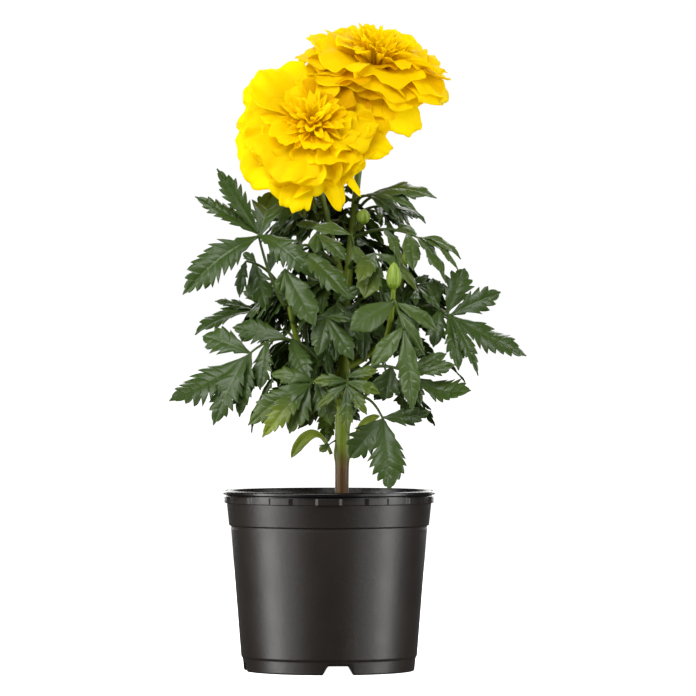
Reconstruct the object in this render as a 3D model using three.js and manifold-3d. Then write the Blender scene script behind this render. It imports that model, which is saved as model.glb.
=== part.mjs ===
// A double yellow marigold growing in a round plastic nursery pot: pot, potting mix, one branching
// stem with its flower stalks, saw-edged pinnate leaves, seed leaves, green buds, and two blooms,
// each a green cup with a head of ruffled petals.
//
// Millimetres, +Z up. The origin is on the surface that the pot stands on, under the middle of the
// plant's spread. The front of the plant, where the nearer bloom faces, is -Y.
import * as THREE from 'three';
import { mergeVertices } from 'three/addons/utils/BufferGeometryUtils.js';
import Module from 'manifold-3d';

const wasm = await Module();
wasm.setup();

// ---------------------------------------------------------------- driving dimensions

const POT_AXIS_X = -10.7; // the plant leans right of its pot, so the pot's axis is left of the origin
const POT = {
  height: 102,
  lipRadius: 60,
  lipHeight: 2.6,
  lugRadius: 59.2,
  collarRadius: 58.2,
  collarHeight: 4.6,
  bandTopRadius: 57.9,
  bandBottomRadius: 56.6,
  bandHeight: 12.4,
  bodyTopRadius: 55.5,
  stepHeight: 2.2,
  bodyBottomRadius: 49.8,
  footTopRadius: 49.0,
  footRadius: 48.4,
  footHeight: 7.2,
  footGroove: 1.4,
  floorHeight: 6.4,
  wall: 1.3,
  sides: 52, // two facets to each lug and each space between lugs
  firstLug: -1, // the front lug begins one facet to the left of the front
};
const NOTCH = { count: 4, firstTurn: -83.6, bottomWidth: 18, topWidth: 11.7, height: 5.1 };
const DRAIN = { count: 8, radius: 3.5, circle: 34, firstTurn: 6.4 };
const SOIL = { top: 90, gap: 0.35, crumb: 1.1, sides: 26, holeRoom: 0.5, holeSides: 10 };
const SEAT_GAP = 0.3; // between a bud, cup or head and what carries it
const LEAF_SEAT = { gap: 0.4, slant: 1.8 }; // a leaf's own gap, and what it adds where it leans

// Limbs of the one stem. Each is a bend from its foot, by way of a point, to its end, with its
// radius given at even steps along it.
const LIMBS = {
  trunk: {
    path: [[-3.6, 0, 61], [-3.9, 0, 140], [-1, 0, 216]],
    radii: [3.3, 3.4, 3.5, 4.2, 3.8, 3.3, 2.8],
    sides: 8,
  },
  front_stalk: {
    from: [-1.2, 0, 211], head: 'front', bend: 22,
    radii: [2.4, 2.0, 1.9, 2.2, 2.7],
    sides: 6,
  },
  back_stalk: {
    from: [-1, 0, 211], head: 'back', bend: 26,
    radii: [2.6, 2.1, 2.0, 2.2, 2.7],
    sides: 6,
  },
  left_branch: {
    path: [[-3.6, 0, 150], [-27, -10, 164], [-34, -14, 212]],
    radii: [2.4, 2.1, 1.9, 1.6, 1.2],
    sides: 6,
  },
  right_branch: {
    path: [[-2.8, 0, 158], [24, -22, 168], [25.4, -26, 215.6]],
    radii: [2.4, 2.1, 1.9, 1.6, 1.4],
    sides: 6,
  },
  right_rear_branch: {
    path: [[-2.6, 0, 172], [26, 8, 178], [32, 12, 229.6]],
    radii: [2.2, 1.9, 1.7, 1.4, 1.1],
    sides: 5,
  },
  left_rear_branch: {
    path: [[-3.2, 0, 166], [-24, 20, 174], [-34, 30, 222]],
    radii: [2.2, 1.9, 1.7, 1.4, 1.1],
    sides: 5,
  },
  rear_branch: {
    path: [[-2.4, 0, 176], [4, 28, 184], [10, 38, 236]],
    radii: [2.2, 1.9, 1.7, 1.4, 1.1],
    sides: 5,
  },
  bud_stalk: {
    path: [[2, 14, 250], [7.5, 6, 249], [8.2, 1, 254]],
    radii: [1.3, 1.1, 1.2],
    sides: 5,
  },
};
const STEM_JOINT = { z: 123, reach: 6, extra: 0.7 }; // the joint that the seed leaves grow from

// Green cups that hold the two heads, and closed buds: [radius, height] up each one's own axis.
const CUP_PROFILE = [[0, 0], [2.7, 0], [4.6, 4], [6.2, 10], [6.8, 14], [7.6, 17], [0, 17]];
const BUD_PROFILE = [[0, 0], [0.16, 0], [0.42, 0.16], [0.5, 0.42], [0.4, 0.7], [0.2, 0.92], [0, 1]];
const BUDS = [
  { name: 'bud_large', limb: 'right_branch', width: 8.6, height: 15 },
  { name: 'bud_small', limb: 'right_rear_branch', width: 5.6, height: 8 },
  { name: 'bud_upper', limb: 'bud_stalk', width: 8, height: 9 },
];

// A head: where its cup stands, which way it faces, and its rings of petals. A ring gives how many
// petals, their root's distance from the axis and height above the cup, how far they tilt from the
// axis and then curl back in degrees, their length and width, and how deep their edge is ruffled.
const HEADS = {
  front: {
    foot: [-19.5, 1, 295.3],
    axis: [0, -0.87, 0.5],
    core: { radius: 11, height: 9, lift: 5 },
    rings: [
      { count: 9, root: 5, height: 2.5, tilt: 88, curl: 26, reach: 38, width: 29, ruffle: 2.6, start: 12 },
      { count: 8, root: 5, height: 4, tilt: 68, curl: 30, reach: 35, width: 26, ruffle: 3.0, start: 33 },
      { count: 7, root: 4, height: 5, tilt: 47, curl: 24, reach: 28, width: 20, ruffle: 2.6, start: 4 },
      { count: 6, root: 3, height: 6, tilt: 29, curl: 16, reach: 19, width: 12, ruffle: 1.8, start: 25 },
      { count: 4, root: 1.5, height: 6, tilt: 12, curl: 10, reach: 14, width: 8, ruffle: 1.2, start: 12 },
    ],
    loose: [
      { turn: 253, root: 4, height: 3, tilt: 104, curl: 12, reach: 43, width: 18, ruffle: 1.6 },
      { turn: 288, root: 4, height: 3, tilt: 104, curl: 16, reach: 42, width: 18, ruffle: 1.6 },
      { turn: 343, root: 4, height: 3, tilt: 99, curl: 20, reach: 42, width: 22, ruffle: 1.8 },
    ],
  },
  back: {
    foot: [11.5, 21.5, 321.5],
    axis: [0.2, -0.32, 0.92],
    core: { radius: 11, height: 12, lift: 7 },
    rings: [
      { count: 9, root: 5, height: 2.5, tilt: 83, curl: 30, reach: 39, width: 28, ruffle: 3.0, start: 15 },
      { count: 8, root: 4.5, height: 4, tilt: 63, curl: 32, reach: 36, width: 25, ruffle: 3.2, start: 35 },
      { count: 6, root: 4, height: 5, tilt: 44, curl: 24, reach: 32, width: 20, ruffle: 2.6, start: 0 },
      { count: 6, root: 2.5, height: 6, tilt: 26, curl: 14, reach: 25, width: 13, ruffle: 1.8, start: 22 },
      { count: 4, root: 1.2, height: 7, tilt: 10, curl: 6, reach: 21, width: 8, ruffle: 1.2, start: 40 },
    ],
    loose: [
      { turn: 292, root: 4, height: 4, tilt: 122, curl: 14, reach: 41, width: 22, ruffle: 1.8 },
      { turn: 256, root: 4, height: 4, tilt: 108, curl: 20, reach: 34, width: 26, ruffle: 1.8 },
      { turn: 338, root: 4, height: 3, tilt: 100, curl: 24, reach: 43, width: 26, ruffle: 2.0 },
    ],
  },
};
// Tried in turn, in degrees, where a petal would cross what stands already.
const PETAL_TILTS = [0, -8, 8, -16, 16, -26, 26, -38, -50];
const PETAL_THICKNESS = 0.8;
const PETAL_BOW = { side: 0.1, tip: 0.16 }; // how far a petal cups across, and its corners draw back
const FLORET_WIDTH = 14; // a petal this narrow is an inner floret, with fewer folds
const PETAL_CLAW = { share: 0, half: 0.09, sides: [-1, 1] };
const PETAL_ROWS = [
  PETAL_CLAW,
  { share: 0.52, half: 0.36, sides: [-1, 0, 1] },
  { share: 1, half: 0.5, sides: [-1, -0.5, 0, 0.5, 1] },
];
const FLORET_ROWS = [PETAL_CLAW, { share: 1, half: 0.5, sides: [-1, 0, 1] }];

// Leaves. Each grows from a limb, at a share of its length, and its rachis bends by way of a point
// to its end. `face` is the way its upper side looks. A leaflet is its place along the rachis, its
// tip, its width, and how high it arches between as a share of its length.
const LEAF = { thickness: 0.7, rachisThickness: 1.5, rachisHalfWidth: 0.95, arch: 0.09, archTop: 0.45 };
const LEAVES = [
  {
    name: 'leaf_front_right', limb: 'right_branch', at: 0.93,
    via: [26.5, -36, 210], end: [31.5, -43, 192.5], face: [0.05, -0.97, 0.25],
    leaflets: [
      [1, [36, -51, 147], 12.5, 0.04], [0.95, [13, -49, 172], 11, 0.06],
      [0.6, [43, -41, 178], 5, 0.15], [0.28, [1, -48, 192.5], 16, 0.06],
      [0.3, [51, -35, 191], 7, 0.18],
    ],
  },
  {
    name: 'leaf_left_front', limb: 'left_branch', at: 0.84,
    via: [-33, -31, 222], end: [-35.5, -36, 226.5], face: [0, -0.9, 0.42],
    leaflets: [
      [1, [-18.5, -46, 194.5], 14, 0.06], [0.95, [-38.5, -36, 213], 6, 0.1],
    ],
  },
  {
    name: 'leaf_upper_left', limb: 'left_branch', at: 0.95,
    via: [-45, -19.5, 222], end: [-50.5, -24, 247], face: [-0.1, -0.86, 0.5],
    leaflets: [
      [1, [-73.5, -30, 283], 13, 0.05], [0.99, [-86, -22, 267.5], 11, 0.05],
      [0.96, [-92.5, -29, 212.5], 16, 0.08], [0.95, [-42, -10, 271], 13, 0.04],
      [0.97, [-19, -42, 222], 13, 0.17],
    ],
  },
  {
    name: 'leaf_left_long', limb: 'front_stalk', at: 0.14,
    via: [-26, -22, 246], end: [-27, -35, 237], face: [0.1, -0.88, 0.46],
    leaflets: [
      [1, [1, -52, 209.5], 13, 0.08], [0.7, [-40, -36, 231], 8, 0.1],
    ],
  },
  {
    name: 'leaf_lower_left', limb: 'trunk', at: 0.64,
    via: [-30, -24, 204], end: [-57, -36, 177.5], face: [-0.25, -0.85, 0.45],
    leaflets: [
      [1, [-99.5, -50, 153], 17, 0.12], [0.98, [-75, -47, 139.5], 14, 0.07],
      [0.95, [-60.5, -43, 144], 11, 0.07], [0.78, [-49, -41, 159], 10, 0.07],
      [0.52, [-21.5, -43, 163.5], 11, 0.08], [0.96, [-81.5, -26, 189], 14, 0.1],
      [0.56, [-65, -12, 194], 12, 0.08],
    ],
  },
  {
    name: 'leaf_lower_front', limb: 'trunk', at: 0.6,
    via: [-12, -36, 172], end: [-22, -51, 161.5], face: [0, -0.9, 0.42],
    leaflets: [
      [1, [-47.5, -62, 133], 11, 0.1], [0.97, [-32.5, -58, 135], 12, 0.06],
      [0.78, [-9.5, -51, 139.5], 11, 0.1], [0.96, [-55.5, -53, 139.5], 13, 0.16],
      [0.85, [-43, -44, 168], 9, 0.1],
    ],
  },
  {
    name: 'leaf_lower_right', limb: 'trunk', at: 0.56,
    via: [10, -34, 164], end: [20, -42, 142], face: [0.1, -0.94, 0.3],
    leaflets: [
      [1, [23, -54, 103.5], 17, 0.06], [0.98, [0.5, -46, 121], 14, 0.1],
      [0.96, [46.5, -40, 147], 9, -0.1],
    ],
  },
  {
    name: 'leaf_right_lower', limb: 'trunk', at: 0.67,
    via: [24, -28, 175], end: [41.5, -32, 160.5], face: [0.1, -0.8, 0.55],
    leaflets: [
      [1, [73.5, -37, 150], 12, 0.08], [0.98, [65, -30, 165.5], 8, 0.06],
      [0.92, [60, -25, 172.5], 8, 0.06], [0.9, [38.5, -39, 147], 6, 0.08],
      [0.97, [45, -40, 144], 7, 0.1], [0.66, [24, -30, 149.5], 14, 0.1],
      [0.72, [47, -16, 178], 8, 0.08],
    ],
  },
  {
    name: 'leaf_right_middle', limb: 'right_rear_branch', at: 0.6,
    via: [42, -4, 214], end: [58, -14, 200.5], face: [0.2, -0.85, 0.48],
    leaflets: [
      [1, [100, -26, 178], 17, 0.1], [0.99, [86, -14, 214], 12, 0.05],
      [0.93, [66, -4, 227.5], 14, 0.06], [0.98, [73, -27, 167], 7, 0.1],
      [0.95, [62, -27, 170], 10, 0.08], [0.8, [48, -19, 183], 10, 0.1], [0.76, [48, 0, 222], 9, 0.08],
    ],
  },
  {
    name: 'leaf_right_upper', limb: 'back_stalk', at: 0.22,
    via: [24, 4, 254], end: [40, -7, 244.5], face: [0.2, -0.5, 0.84],
    leaflets: [
      [1, [63.5, -15, 232.5], 6, 0.14], [0.98, [62, -19, 226], 5, 0.15],
      [0.94, [55, -22, 219], 8, 0.12], [0.8, [36.5, -20, 226], 9, 0.08],
      [0.4, [29.5, -20, 228.5], 6, 0.12], [0.62, [39, 6, 247], 9, 0.25],
    ],
  },
  {
    name: 'leaf_top_right', limb: 'back_stalk', at: 0.36,
    via: [7, 11, 270], end: [12, 5, 268.5], face: [-0.05, -0.6, 0.8],
    leaflets: [
      [1, [50, -9, 267], 10, 0.15], [0.94, [38, -12, 260.5], 7, 0.16], [0.7, [32, 9, 252], 10, 0.22],
    ],
  },
  {
    name: 'leaf_front_upper', limb: 'front_stalk', at: 0.27,
    via: [-13, -14, 253], end: [-17.5, -27, 242.5], face: [0.1, -0.8, 0.6],
    leaflets: [
      [1, [-1, -37, 227], 9, 0.08], [0.9, [-18.5, -34, 230.5], 7, 0.08],
      [0.6, [-29, -16, 249], 6, 0.1],
    ],
  },
  {
    name: 'leaf_front_pale', limb: 'back_stalk', at: 0.1,
    via: [5, -10, 236], end: [1.5, -18, 246], face: [0.1, -0.75, 0.65],
    leaflets: [
      [1, [-20.5, -25, 249.5], 9, 0.12], [0.7, [8, -24, 228], 8, 0.08],
    ],
  },
  {
    name: 'leaf_front_middle', limb: 'trunk', at: 0.84,
    via: [-10, -22, 208], end: [-12, -36, 199], face: [0.1, -0.88, 0.46],
    leaflets: [
      [1, [3, -45, 175.5], 10, 0.08], [0.95, [1.5, -42, 197.5], 6, 0.12],
      [0.9, [-17, -42, 178], 10, 0.08],
    ],
  },
  {
    name: 'leaf_front_low', limb: 'trunk', at: 0.63,
    via: [5, -34, 180], end: [7, -54, 167], face: [0, -0.85, 0.52],
    leaflets: [
      [1, [8, -60, 141.5], 7, 0.05], [0.96, [-9, -59, 155], 6, 0.08], [0.9, [-12, -52, 169], 7, 0.08],
      [0.98, [19, -59, 152], 6, 0.08], [0.92, [25, -52, 163], 7, 0.1], [0.8, [23, -44, 175], 7, 0.1],
    ],
  },
  {
    name: 'leaf_right_inner', limb: 'right_branch', at: 0.8,
    via: [19, -14, 232], end: [19, -18, 237], face: [0.1, -0.88, 0.46],
    leaflets: [
      [1, [5.5, -36, 219.5], 10, 0.12], [0.9, [9, -31, 210.5], 13, 0.08],
      [0.95, [42, -13, 213.5], 7, 0.2],
    ],
  },
  {
    name: 'leaf_left_small', limb: 'left_branch', at: 0.98,
    via: [-42, -8, 229], end: [-57.5, -11, 231.5], face: [-0.2, -0.75, 0.6],
    leaflets: [
      [1, [-61, -17, 211], 9, 0.1], [0.86, [-46, -13, 204], 12, 0.1], [0.8, [-59, 0, 236.5], 5, 0.05],
      [0.5, [-39, -2, 242], 7, 0.1],
    ],
  },
  {
    name: 'leaf_left_middle', limb: 'left_rear_branch', at: 0.5,
    via: [-34, 14, 206], end: [-52, 8, 203.5], face: [-0.2, -0.55, 0.82],
    leaflets: [
      [1, [-86.5, -1, 190], 15, 0.1], [0.97, [-75.5, 8, 209], 7, 0.03],
      [0.85, [-57, 20, 219], 10, 0.08], [0.85, [-60, -4, 186], 12, 0.08],
    ],
  },
  {
    name: 'leaf_top_left', limb: 'front_stalk', at: 0.4,
    via: [-26, 8, 257], end: [-33, 4, 254], face: [-0.1, -0.7, 0.7],
    leaflets: [
      [1, [-47, 4, 259], 8, 0.06], [0.8, [-42, 0, 243], 8, 0.08], [0.6, [-21, -8, 263], 6, 0.1],
    ],
  },
  {
    name: 'leaf_sprig', limb: 'trunk', at: 0.44,
    via: [-9.5, -3, 129], end: [-10.5, -4, 128], face: [0, -0.9, 0.4],
    leaflets: [
      [1, [-16, -6, 124], 4.5, 0.1],
    ],
  },
];

// The other leaves fill the sides and back. They are placed by a rule: tiers up the plant, each with
// its limb for every turn, and a seeded draw that varies them a little. One that finds no room is
// left out.
const FILL_SEED = 20;
const FILL_LEAF = { outward: 0.75, upward: 0.6, width: 0.37 }; // its upper side's way, its leaflets' form
const FILL_TIERS = [
  {
    count: 4, first: 36, last: 140, z: 160, reach: 27, spread: 36,
    from: 'trunk', at: 0.57, climb: 0.08, pairs: 2, sag: 0.3,
  },
  {
    count: 6, first: 8, last: 172, z: 184, reach: 28, spread: 41.5,
    from: 'trunk', at: 0.72, climb: 0.12, pairs: 2, sag: 0.4,
  },
  {
    count: 7, first: 0, last: 180, z: 214, reach: 27, spread: 38,
    from: 'branches', at: 0.56, climb: 0.24, pairs: 2, sag: 0.4,
  },
  {
    count: 5, first: 36, last: 144, z: 243, reach: 28, spread: 30,
    from: 'branches', at: 0.84, climb: 0.2, pairs: 2, sag: 0.4,
  },
  {
    count: 6, first: -165, last: -15, z: 216, reach: 24, spread: 17,
    from: 'trunk', at: 0.86, climb: 0.22, pairs: 2, sag: 0.4,
  },
];
const BRANCHES = ['right_rear_branch', 'rear_branch', 'left_rear_branch', 'left_branch', 'right_branch'];

// A leaf that would cross a neighbour is turned about its own foot, round the vertical and then up
// or down, by the smallest of these turns in degrees that leaves it clear.
const SWINGS = [0, 8, -8, 16, -16, 24, -24, 34, -34, 46, -46];
const LIFTS = [0, 6, -6, 12, -12, 20, -20, 30, -30];
const TURNS = SWINGS.flatMap((swing) => LIFTS.map((lift) => [swing, lift]))
  .sort((a, b) => Math.abs(a[0]) + Math.abs(a[1]) - Math.abs(b[0]) - Math.abs(b[1]));
const CLEARANCE = 0.25; // added to both faces of a blade while its room is tried
const TOUCH_VOLUME = 1e-4; // less shared space than this, in cubic mm, is none

const SEED_LEAVES = [
  { name: 'seed_leaf_left', path: [[-9.6, -1, 122.5], [-17, -4, 150], [-32, -6, 121.5]], width: 6 },
  { name: 'seed_leaf_right', path: [[2.4, -1, 124.5], [4, -4, 141], [18, -8, 144]], width: 5 },
];

// ---------------------------------------------------------------- materials

const paint = (color, roughness) => new THREE.MeshStandardMaterial({ color, roughness, metalness: 0 });
const PLASTIC = paint(0x2b2827, 0.45);
const EARTH = paint(0x2e2018, 0.95);
const STALK = paint(0x6d8236, 0.6);
const LEAF_GREEN = paint(0x3c5a2e, 0.6);
const YOUNG_GREEN = paint(0x8fa52c, 0.6);
const PETAL_YELLOW = paint(0xffd800, 0.6);

// ---------------------------------------------------------------- small tools

const vec = (p) => new THREE.Vector3(...p);
const radians = THREE.MathUtils.degToRad;
const mix = THREE.MathUtils.lerp;
const bendOf = (path) => new THREE.QuadraticBezierCurve3(...path.map(vec));
const flatPoints = (profile) => profile.map(([x, y]) => new THREE.Vector2(x, y));

/** Numbers from 0 to 1 that are the same on every run. */
function seeded(seed) {
  const size = 2147483647;
  let state = seed;
  return () => {
    state = (state * 16807) % size;
    return state / size;
  };
}

/** A closed geometry as a solid that can be joined and cut. */
function solidOf(geometry) {
  const bare = geometry.clone();
  bare.deleteAttribute('normal');
  bare.deleteAttribute('uv');
  const merged = mergeVertices(bare, 1e-4);
  const solid = new wasm.Manifold(new wasm.Mesh({
    numProp: 3,
    vertProperties: merged.attributes.position.array,
    triVerts: new Uint32Array(merged.index.array),
  }));
  if (solid.status() !== 'NoError') throw new Error(`a surface is not closed: ${solid.status()}`);
  return solid;
}

/** A geometry from points and the triangles between them. */
function geometryOf(points, faces) {
  const geometry = new THREE.BufferGeometry();
  const places = points.flatMap((p) => [p.x, p.y, p.z]);
  geometry.setAttribute('position', new THREE.Float32BufferAttribute(places, 3));
  geometry.setIndex(faces.flat());
  return geometry;
}

function meshOf(name, solid, material) {
  const { vertProperties, triVerts } = solid.getMesh();
  const geometry = new THREE.BufferGeometry();
  geometry.setAttribute('position', new THREE.BufferAttribute(vertProperties, 3));
  geometry.setIndex(new THREE.BufferAttribute(triVerts, 1));
  geometry.computeVertexNormals();
  const mesh = new THREE.Mesh(geometry, material);
  mesh.name = name;
  return mesh;
}

const joined = (solids) => solids.reduce((all, next) => all.add(next));
const standUp = (geometry) => geometry.rotateX(Math.PI / 2); // a lathe turns about Y, the part about Z

/** A round body turned about +Z from its outline, given as [radius, height]. */
const turnedBody = (profile, sides) => standUp(new THREE.LatheGeometry(flatPoints(profile), sides));

/** A thin closed body: the same triangles on its top and bottom, and a wall along its rim. */
function thinBody(top, bottom, faces, rim) {
  const n = top.length;
  const walls = rim.flatMap((i, k) => {
    const j = rim[(k + 1) % rim.length];
    return [[n + i, n + j, j], [n + i, j, i]];
  });
  const under = faces.map(([a, b, c]) => [n + a, n + c, n + b]);
  return geometryOf([...top, ...bottom], [...faces, ...under, ...walls]);
}

/** The triangles between two rows of points, whose counts may differ, and the rows' rim. */
function stitched(counts) {
  const starts = counts.map((_, k) => counts.slice(0, k).reduce((sum, c) => sum + c, 0));
  const faces = [];
  for (let k = 0; k + 1 < counts.length; k++) {
    let a = 0;
    let b = 0;
    while (a < counts[k] - 1 || b < counts[k + 1] - 1) {
      const nextA = (a + 1) / (counts[k] - 1 || 1);
      const nextB = (b + 1) / (counts[k + 1] - 1 || 1);
      const low = starts[k] + a;
      const high = starts[k + 1] + b;
      if (a >= counts[k] - 1 || (b < counts[k + 1] - 1 && nextB <= nextA)) {
        faces.push([low, high, high + 1]);
        b += 1;
      } else {
        faces.push([low, high, low + 1]);
        a += 1;
      }
    }
  }
  const last = counts.length - 1;
  const right = counts.slice(0, last).map((_, k) => starts[k]);
  const tip = Array.from({ length: counts[last] }, (_, k) => starts[last] + k);
  const left = counts.slice(1, last).map((c, k) => starts[k + 1] + c - 1).reverse();
  const foot = Array.from({ length: counts[0] - 1 }, (_, k) => counts[0] - 1 - k);
  return { faces, rim: [...right, ...tip, ...left, ...foot] };
}

// ---------------------------------------------------------------- pot and potting mix

/** The pot's outline up its outside, over the lip and down its inside, as [radius, height]. */
function potProfile() {
  const { height, wall } = POT;
  const lipFoot = height - POT.lipHeight;
  const collarFoot = lipFoot - POT.collarHeight;
  const bandFoot = collarFoot - POT.bandHeight;
  const bodyTop = bandFoot - POT.stepHeight;
  const grooveTop = POT.footHeight + POT.footGroove;
  return [
    [0, POT.floorHeight],
    [POT.footTopRadius - 2.2 * wall, POT.floorHeight],
    [POT.footRadius - 1.8 * wall, 0],
    [POT.footRadius - 0.5, 0],
    [POT.footRadius, 0.7],
    [POT.footTopRadius, POT.footHeight],
    [POT.bodyBottomRadius, grooveTop],
    [POT.bodyTopRadius, bodyTop],
    [POT.bandBottomRadius, bandFoot],
    [POT.bandTopRadius, collarFoot],
    [POT.collarRadius, collarFoot + 0.3],
    [POT.collarRadius, lipFoot],
    [POT.lipRadius, lipFoot + 0.5],
    [POT.lipRadius, height - 0.6],
    [POT.lipRadius - 0.8, height],
    [POT.bandTopRadius - 0.2, height],
    [POT.bandTopRadius - wall, lipFoot - 1],
    [POT.bodyTopRadius - wall, bodyTop],
    [POT.bodyBottomRadius - wall, POT.floorHeight + 2 * wall],
    [POT.bodyBottomRadius - 2 * wall, POT.floorHeight + wall],
    [0, POT.floorHeight + wall],
  ];
}

/** One raised lug on the collar, a curved block two facets wide. */
function lug(first) {
  const facet = (2 * Math.PI) / POT.sides;
  const inner = POT.collarRadius - 0.5;
  const outer = POT.lugRadius;
  const corners = [[inner, 0], [outer, 0], [outer, 1], [outer, 2], [inner, 2], [inner, 1]];
  const outline = new THREE.Shape(flatPoints(corners.map(([radius, k]) => (
    [radius * Math.sin(first + k * facet), -radius * Math.cos(first + k * facet)]
  ))));
  const depth = POT.collarHeight + 0.2; // into the lip, so that the two join
  const block = new THREE.ExtrudeGeometry(outline, { depth, bevelEnabled: false });
  return solidOf(block.translate(0, 0, POT.height - POT.lipHeight - POT.collarHeight));
}

/** The wedge that cuts one notch through the foot ring, pointing outwards at a turn in degrees. */
function notch(turn) {
  const [low, high] = [NOTCH.bottomWidth / 2, NOTCH.topWidth / 2];
  const slope = (low - high) / NOTCH.height;
  const corners = [[-low - slope, -1], [low + slope, -1], [high, NOTCH.height], [-high, NOTCH.height]];
  const outline = new THREE.Shape(flatPoints(corners));
  const wedge = new THREE.ExtrudeGeometry(outline, { depth: 12, bevelEnabled: false });
  wedge.rotateX(Math.PI / 2).rotateZ(Math.PI / 2); // now it runs along +X, its outline across Y and up Z
  wedge.translate(POT.footRadius - 8, 0, 0).rotateZ(radians(turn));
  return solidOf(wedge);
}

function potSolid() {
  const facet = (2 * Math.PI) / POT.sides;
  const lugs = Array.from({ length: POT.sides / 4 }, (_, k) => lug((4 * k + POT.firstLug) * facet));
  const notchTurn = (k) => NOTCH.firstTurn + (360 * k) / NOTCH.count;
  const cuts = Array.from({ length: NOTCH.count }, (_, k) => notch(notchTurn(k)));
  for (let k = 0; k < DRAIN.count; k++) {
    const turn = radians(DRAIN.firstTurn + (360 * k) / DRAIN.count);
    const hole = standUp(new THREE.CylinderGeometry(DRAIN.radius, DRAIN.radius, 8, 8));
    hole.translate(DRAIN.circle * Math.cos(turn), DRAIN.circle * Math.sin(turn), POT.floorHeight);
    cuts.push(solidOf(hole));
  }
  const whole = joined([solidOf(turnedBody(potProfile(), POT.sides)), ...lugs]);
  return cuts.reduce((pot, cut) => pot.subtract(cut), whole);
}

/** Potting mix up to just under the band, with a crumbly top and a plain hole that the stem stands in. */
function soilSolid() {
  const inset = POT.wall + SOIL.gap;
  const bodyTop = POT.height - POT.lipHeight - POT.collarHeight - POT.bandHeight - POT.stepHeight;
  const floor = POT.floorHeight + 2 * POT.wall + SOIL.gap;
  const rings = [1, 0.78, 0.52, 0.28];
  const edge = POT.bandBottomRadius - inset + 0.2;
  const profile = [
    [0, floor],
    [POT.bodyBottomRadius - inset - POT.wall, floor],
    [POT.bodyTopRadius - inset - 0.4, bodyTop - 0.6],
    ...rings.map((share) => [edge * share, SOIL.top]),
    [0, SOIL.top],
  ];
  const body = turnedBody(profile, SOIL.sides);
  const place = body.attributes.position;
  for (let i = 0; i < place.count; i++) {
    const [x, y, z] = [place.getX(i), place.getY(i), place.getZ(i)];
    const away = Math.hypot(x, y) / edge;
    const crumb = Math.sin(x * 0.41 + 2) * Math.cos(y * 0.37 + 1) + 0.5 * Math.sin((x + y) * 0.83);
    if (z > SOIL.top - 0.1) place.setZ(i, z + SOIL.crumb * crumb * (away < 0.97 ? 1 : 0.3));
  }
  const foot = vec(LIMBS.trunk.path[0]);
  const radius = LIMBS.trunk.radii[1] + SOIL.holeRoom;
  const depth = SOIL.top - foot.z + SEAT_GAP;
  const hole = standUp(new THREE.CylinderGeometry(radius, radius, 2 * depth, SOIL.holeSides));
  hole.translate(foot.x - POT_AXIS_X, foot.y, SOIL.top);
  return solidOf(body).subtract(solidOf(hole));
}

// ---------------------------------------------------------------- stem

/** A limb's bend. A flower stalk's comes up under its head, square to the foot of the green cup. */
function limbCurve(name) {
  const { path, from, head, bend } = LIMBS[name];
  if (path) return bendOf(path);
  const axis = vec(HEADS[head].axis).normalize();
  const under = (distance) => vec(HEADS[head].foot).addScaledVector(axis, -distance);
  return new THREE.QuadraticBezierCurve3(vec(from), under(bend), under(SEAT_GAP));
}

function limbRadius(name, share) {
  const { radii } = LIMBS[name];
  const place = share * (radii.length - 1);
  const k = Math.min(Math.floor(place), radii.length - 2);
  return mix(radii[k], radii[k + 1], place - k);
}

/** A tapering round limb: a cylinder whose points are carried onto the limb's bend. */
function limbSolid(name) {
  const { radii, sides } = LIMBS[name];
  const curve = limbCurve(name);
  const tube = new THREE.CylinderGeometry(1, 1, 1, sides, 2 * (radii.length - 1));
  const place = tube.attributes.position;
  for (let i = 0; i < place.count; i++) {
    const share = THREE.MathUtils.clamp(place.getY(i) + 0.5, 0, 1);
    const along = curve.getTangent(share);
    const right = new THREE.Vector3(0, 1, 0).cross(along).normalize();
    const centre = curve.getPoint(share);
    const nearJoint = Math.max(0, 1 - Math.abs(centre.z - STEM_JOINT.z) / STEM_JOINT.reach);
    const radius = limbRadius(name, share) + (name === 'trunk' ? nearJoint * STEM_JOINT.extra : 0);
    centre.addScaledVector(right, radius * place.getX(i));
    centre.addScaledVector(right.cross(along), radius * place.getZ(i));
    place.setXYZ(i, ...centre);
  }
  return solidOf(tube);
}

// ---------------------------------------------------------------- leaves

/** A leaf's foot on its limb, and its rachis, after a turn about that foot. */
function leafPose(leaf, [swing, lift] = [0, 0]) {
  const limb = limbCurve(leaf.limb);
  const centre = limb.getPoint(leaf.at);
  const limbAlong = limb.getTangent(leaf.at);
  const away = vec(leaf.end).sub(centre);
  const level = new THREE.Vector3(away.y, -away.x, 0).normalize();
  const upright = new THREE.Vector3(0, 0, 1);
  const turned = (v) => v.applyAxisAngle(level, radians(lift)).applyAxisAngle(upright, radians(swing));
  const placed = (p) => turned(vec(p).sub(centre)).add(centre);
  const [via, end] = [placed(leaf.via), placed(leaf.end)];
  const out = via.clone().sub(centre);
  out.addScaledVector(limbAlong, -out.dot(limbAlong)).normalize();
  const slant = via.clone().sub(centre).normalize().cross(out).length();
  const room = LEAF_SEAT.gap + LEAF_SEAT.slant * slant;
  const foot = centre.clone().addScaledVector(out, limbRadius(leaf.limb, leaf.at) + room);
  const rachis = new THREE.QuadraticBezierCurve3(foot, via, end);
  return { rachis, placed, face: turned(vec(leaf.face)).normalize() };
}

/** Along, across and up at a place on the rachis. */
function rachisFrame(pose, share) {
  const along = pose.rachis.getTangent(share);
  const across = pose.face.clone().cross(along).normalize();
  return { origin: pose.rachis.getPoint(share), along, across, up: along.clone().cross(across) };
}

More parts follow.
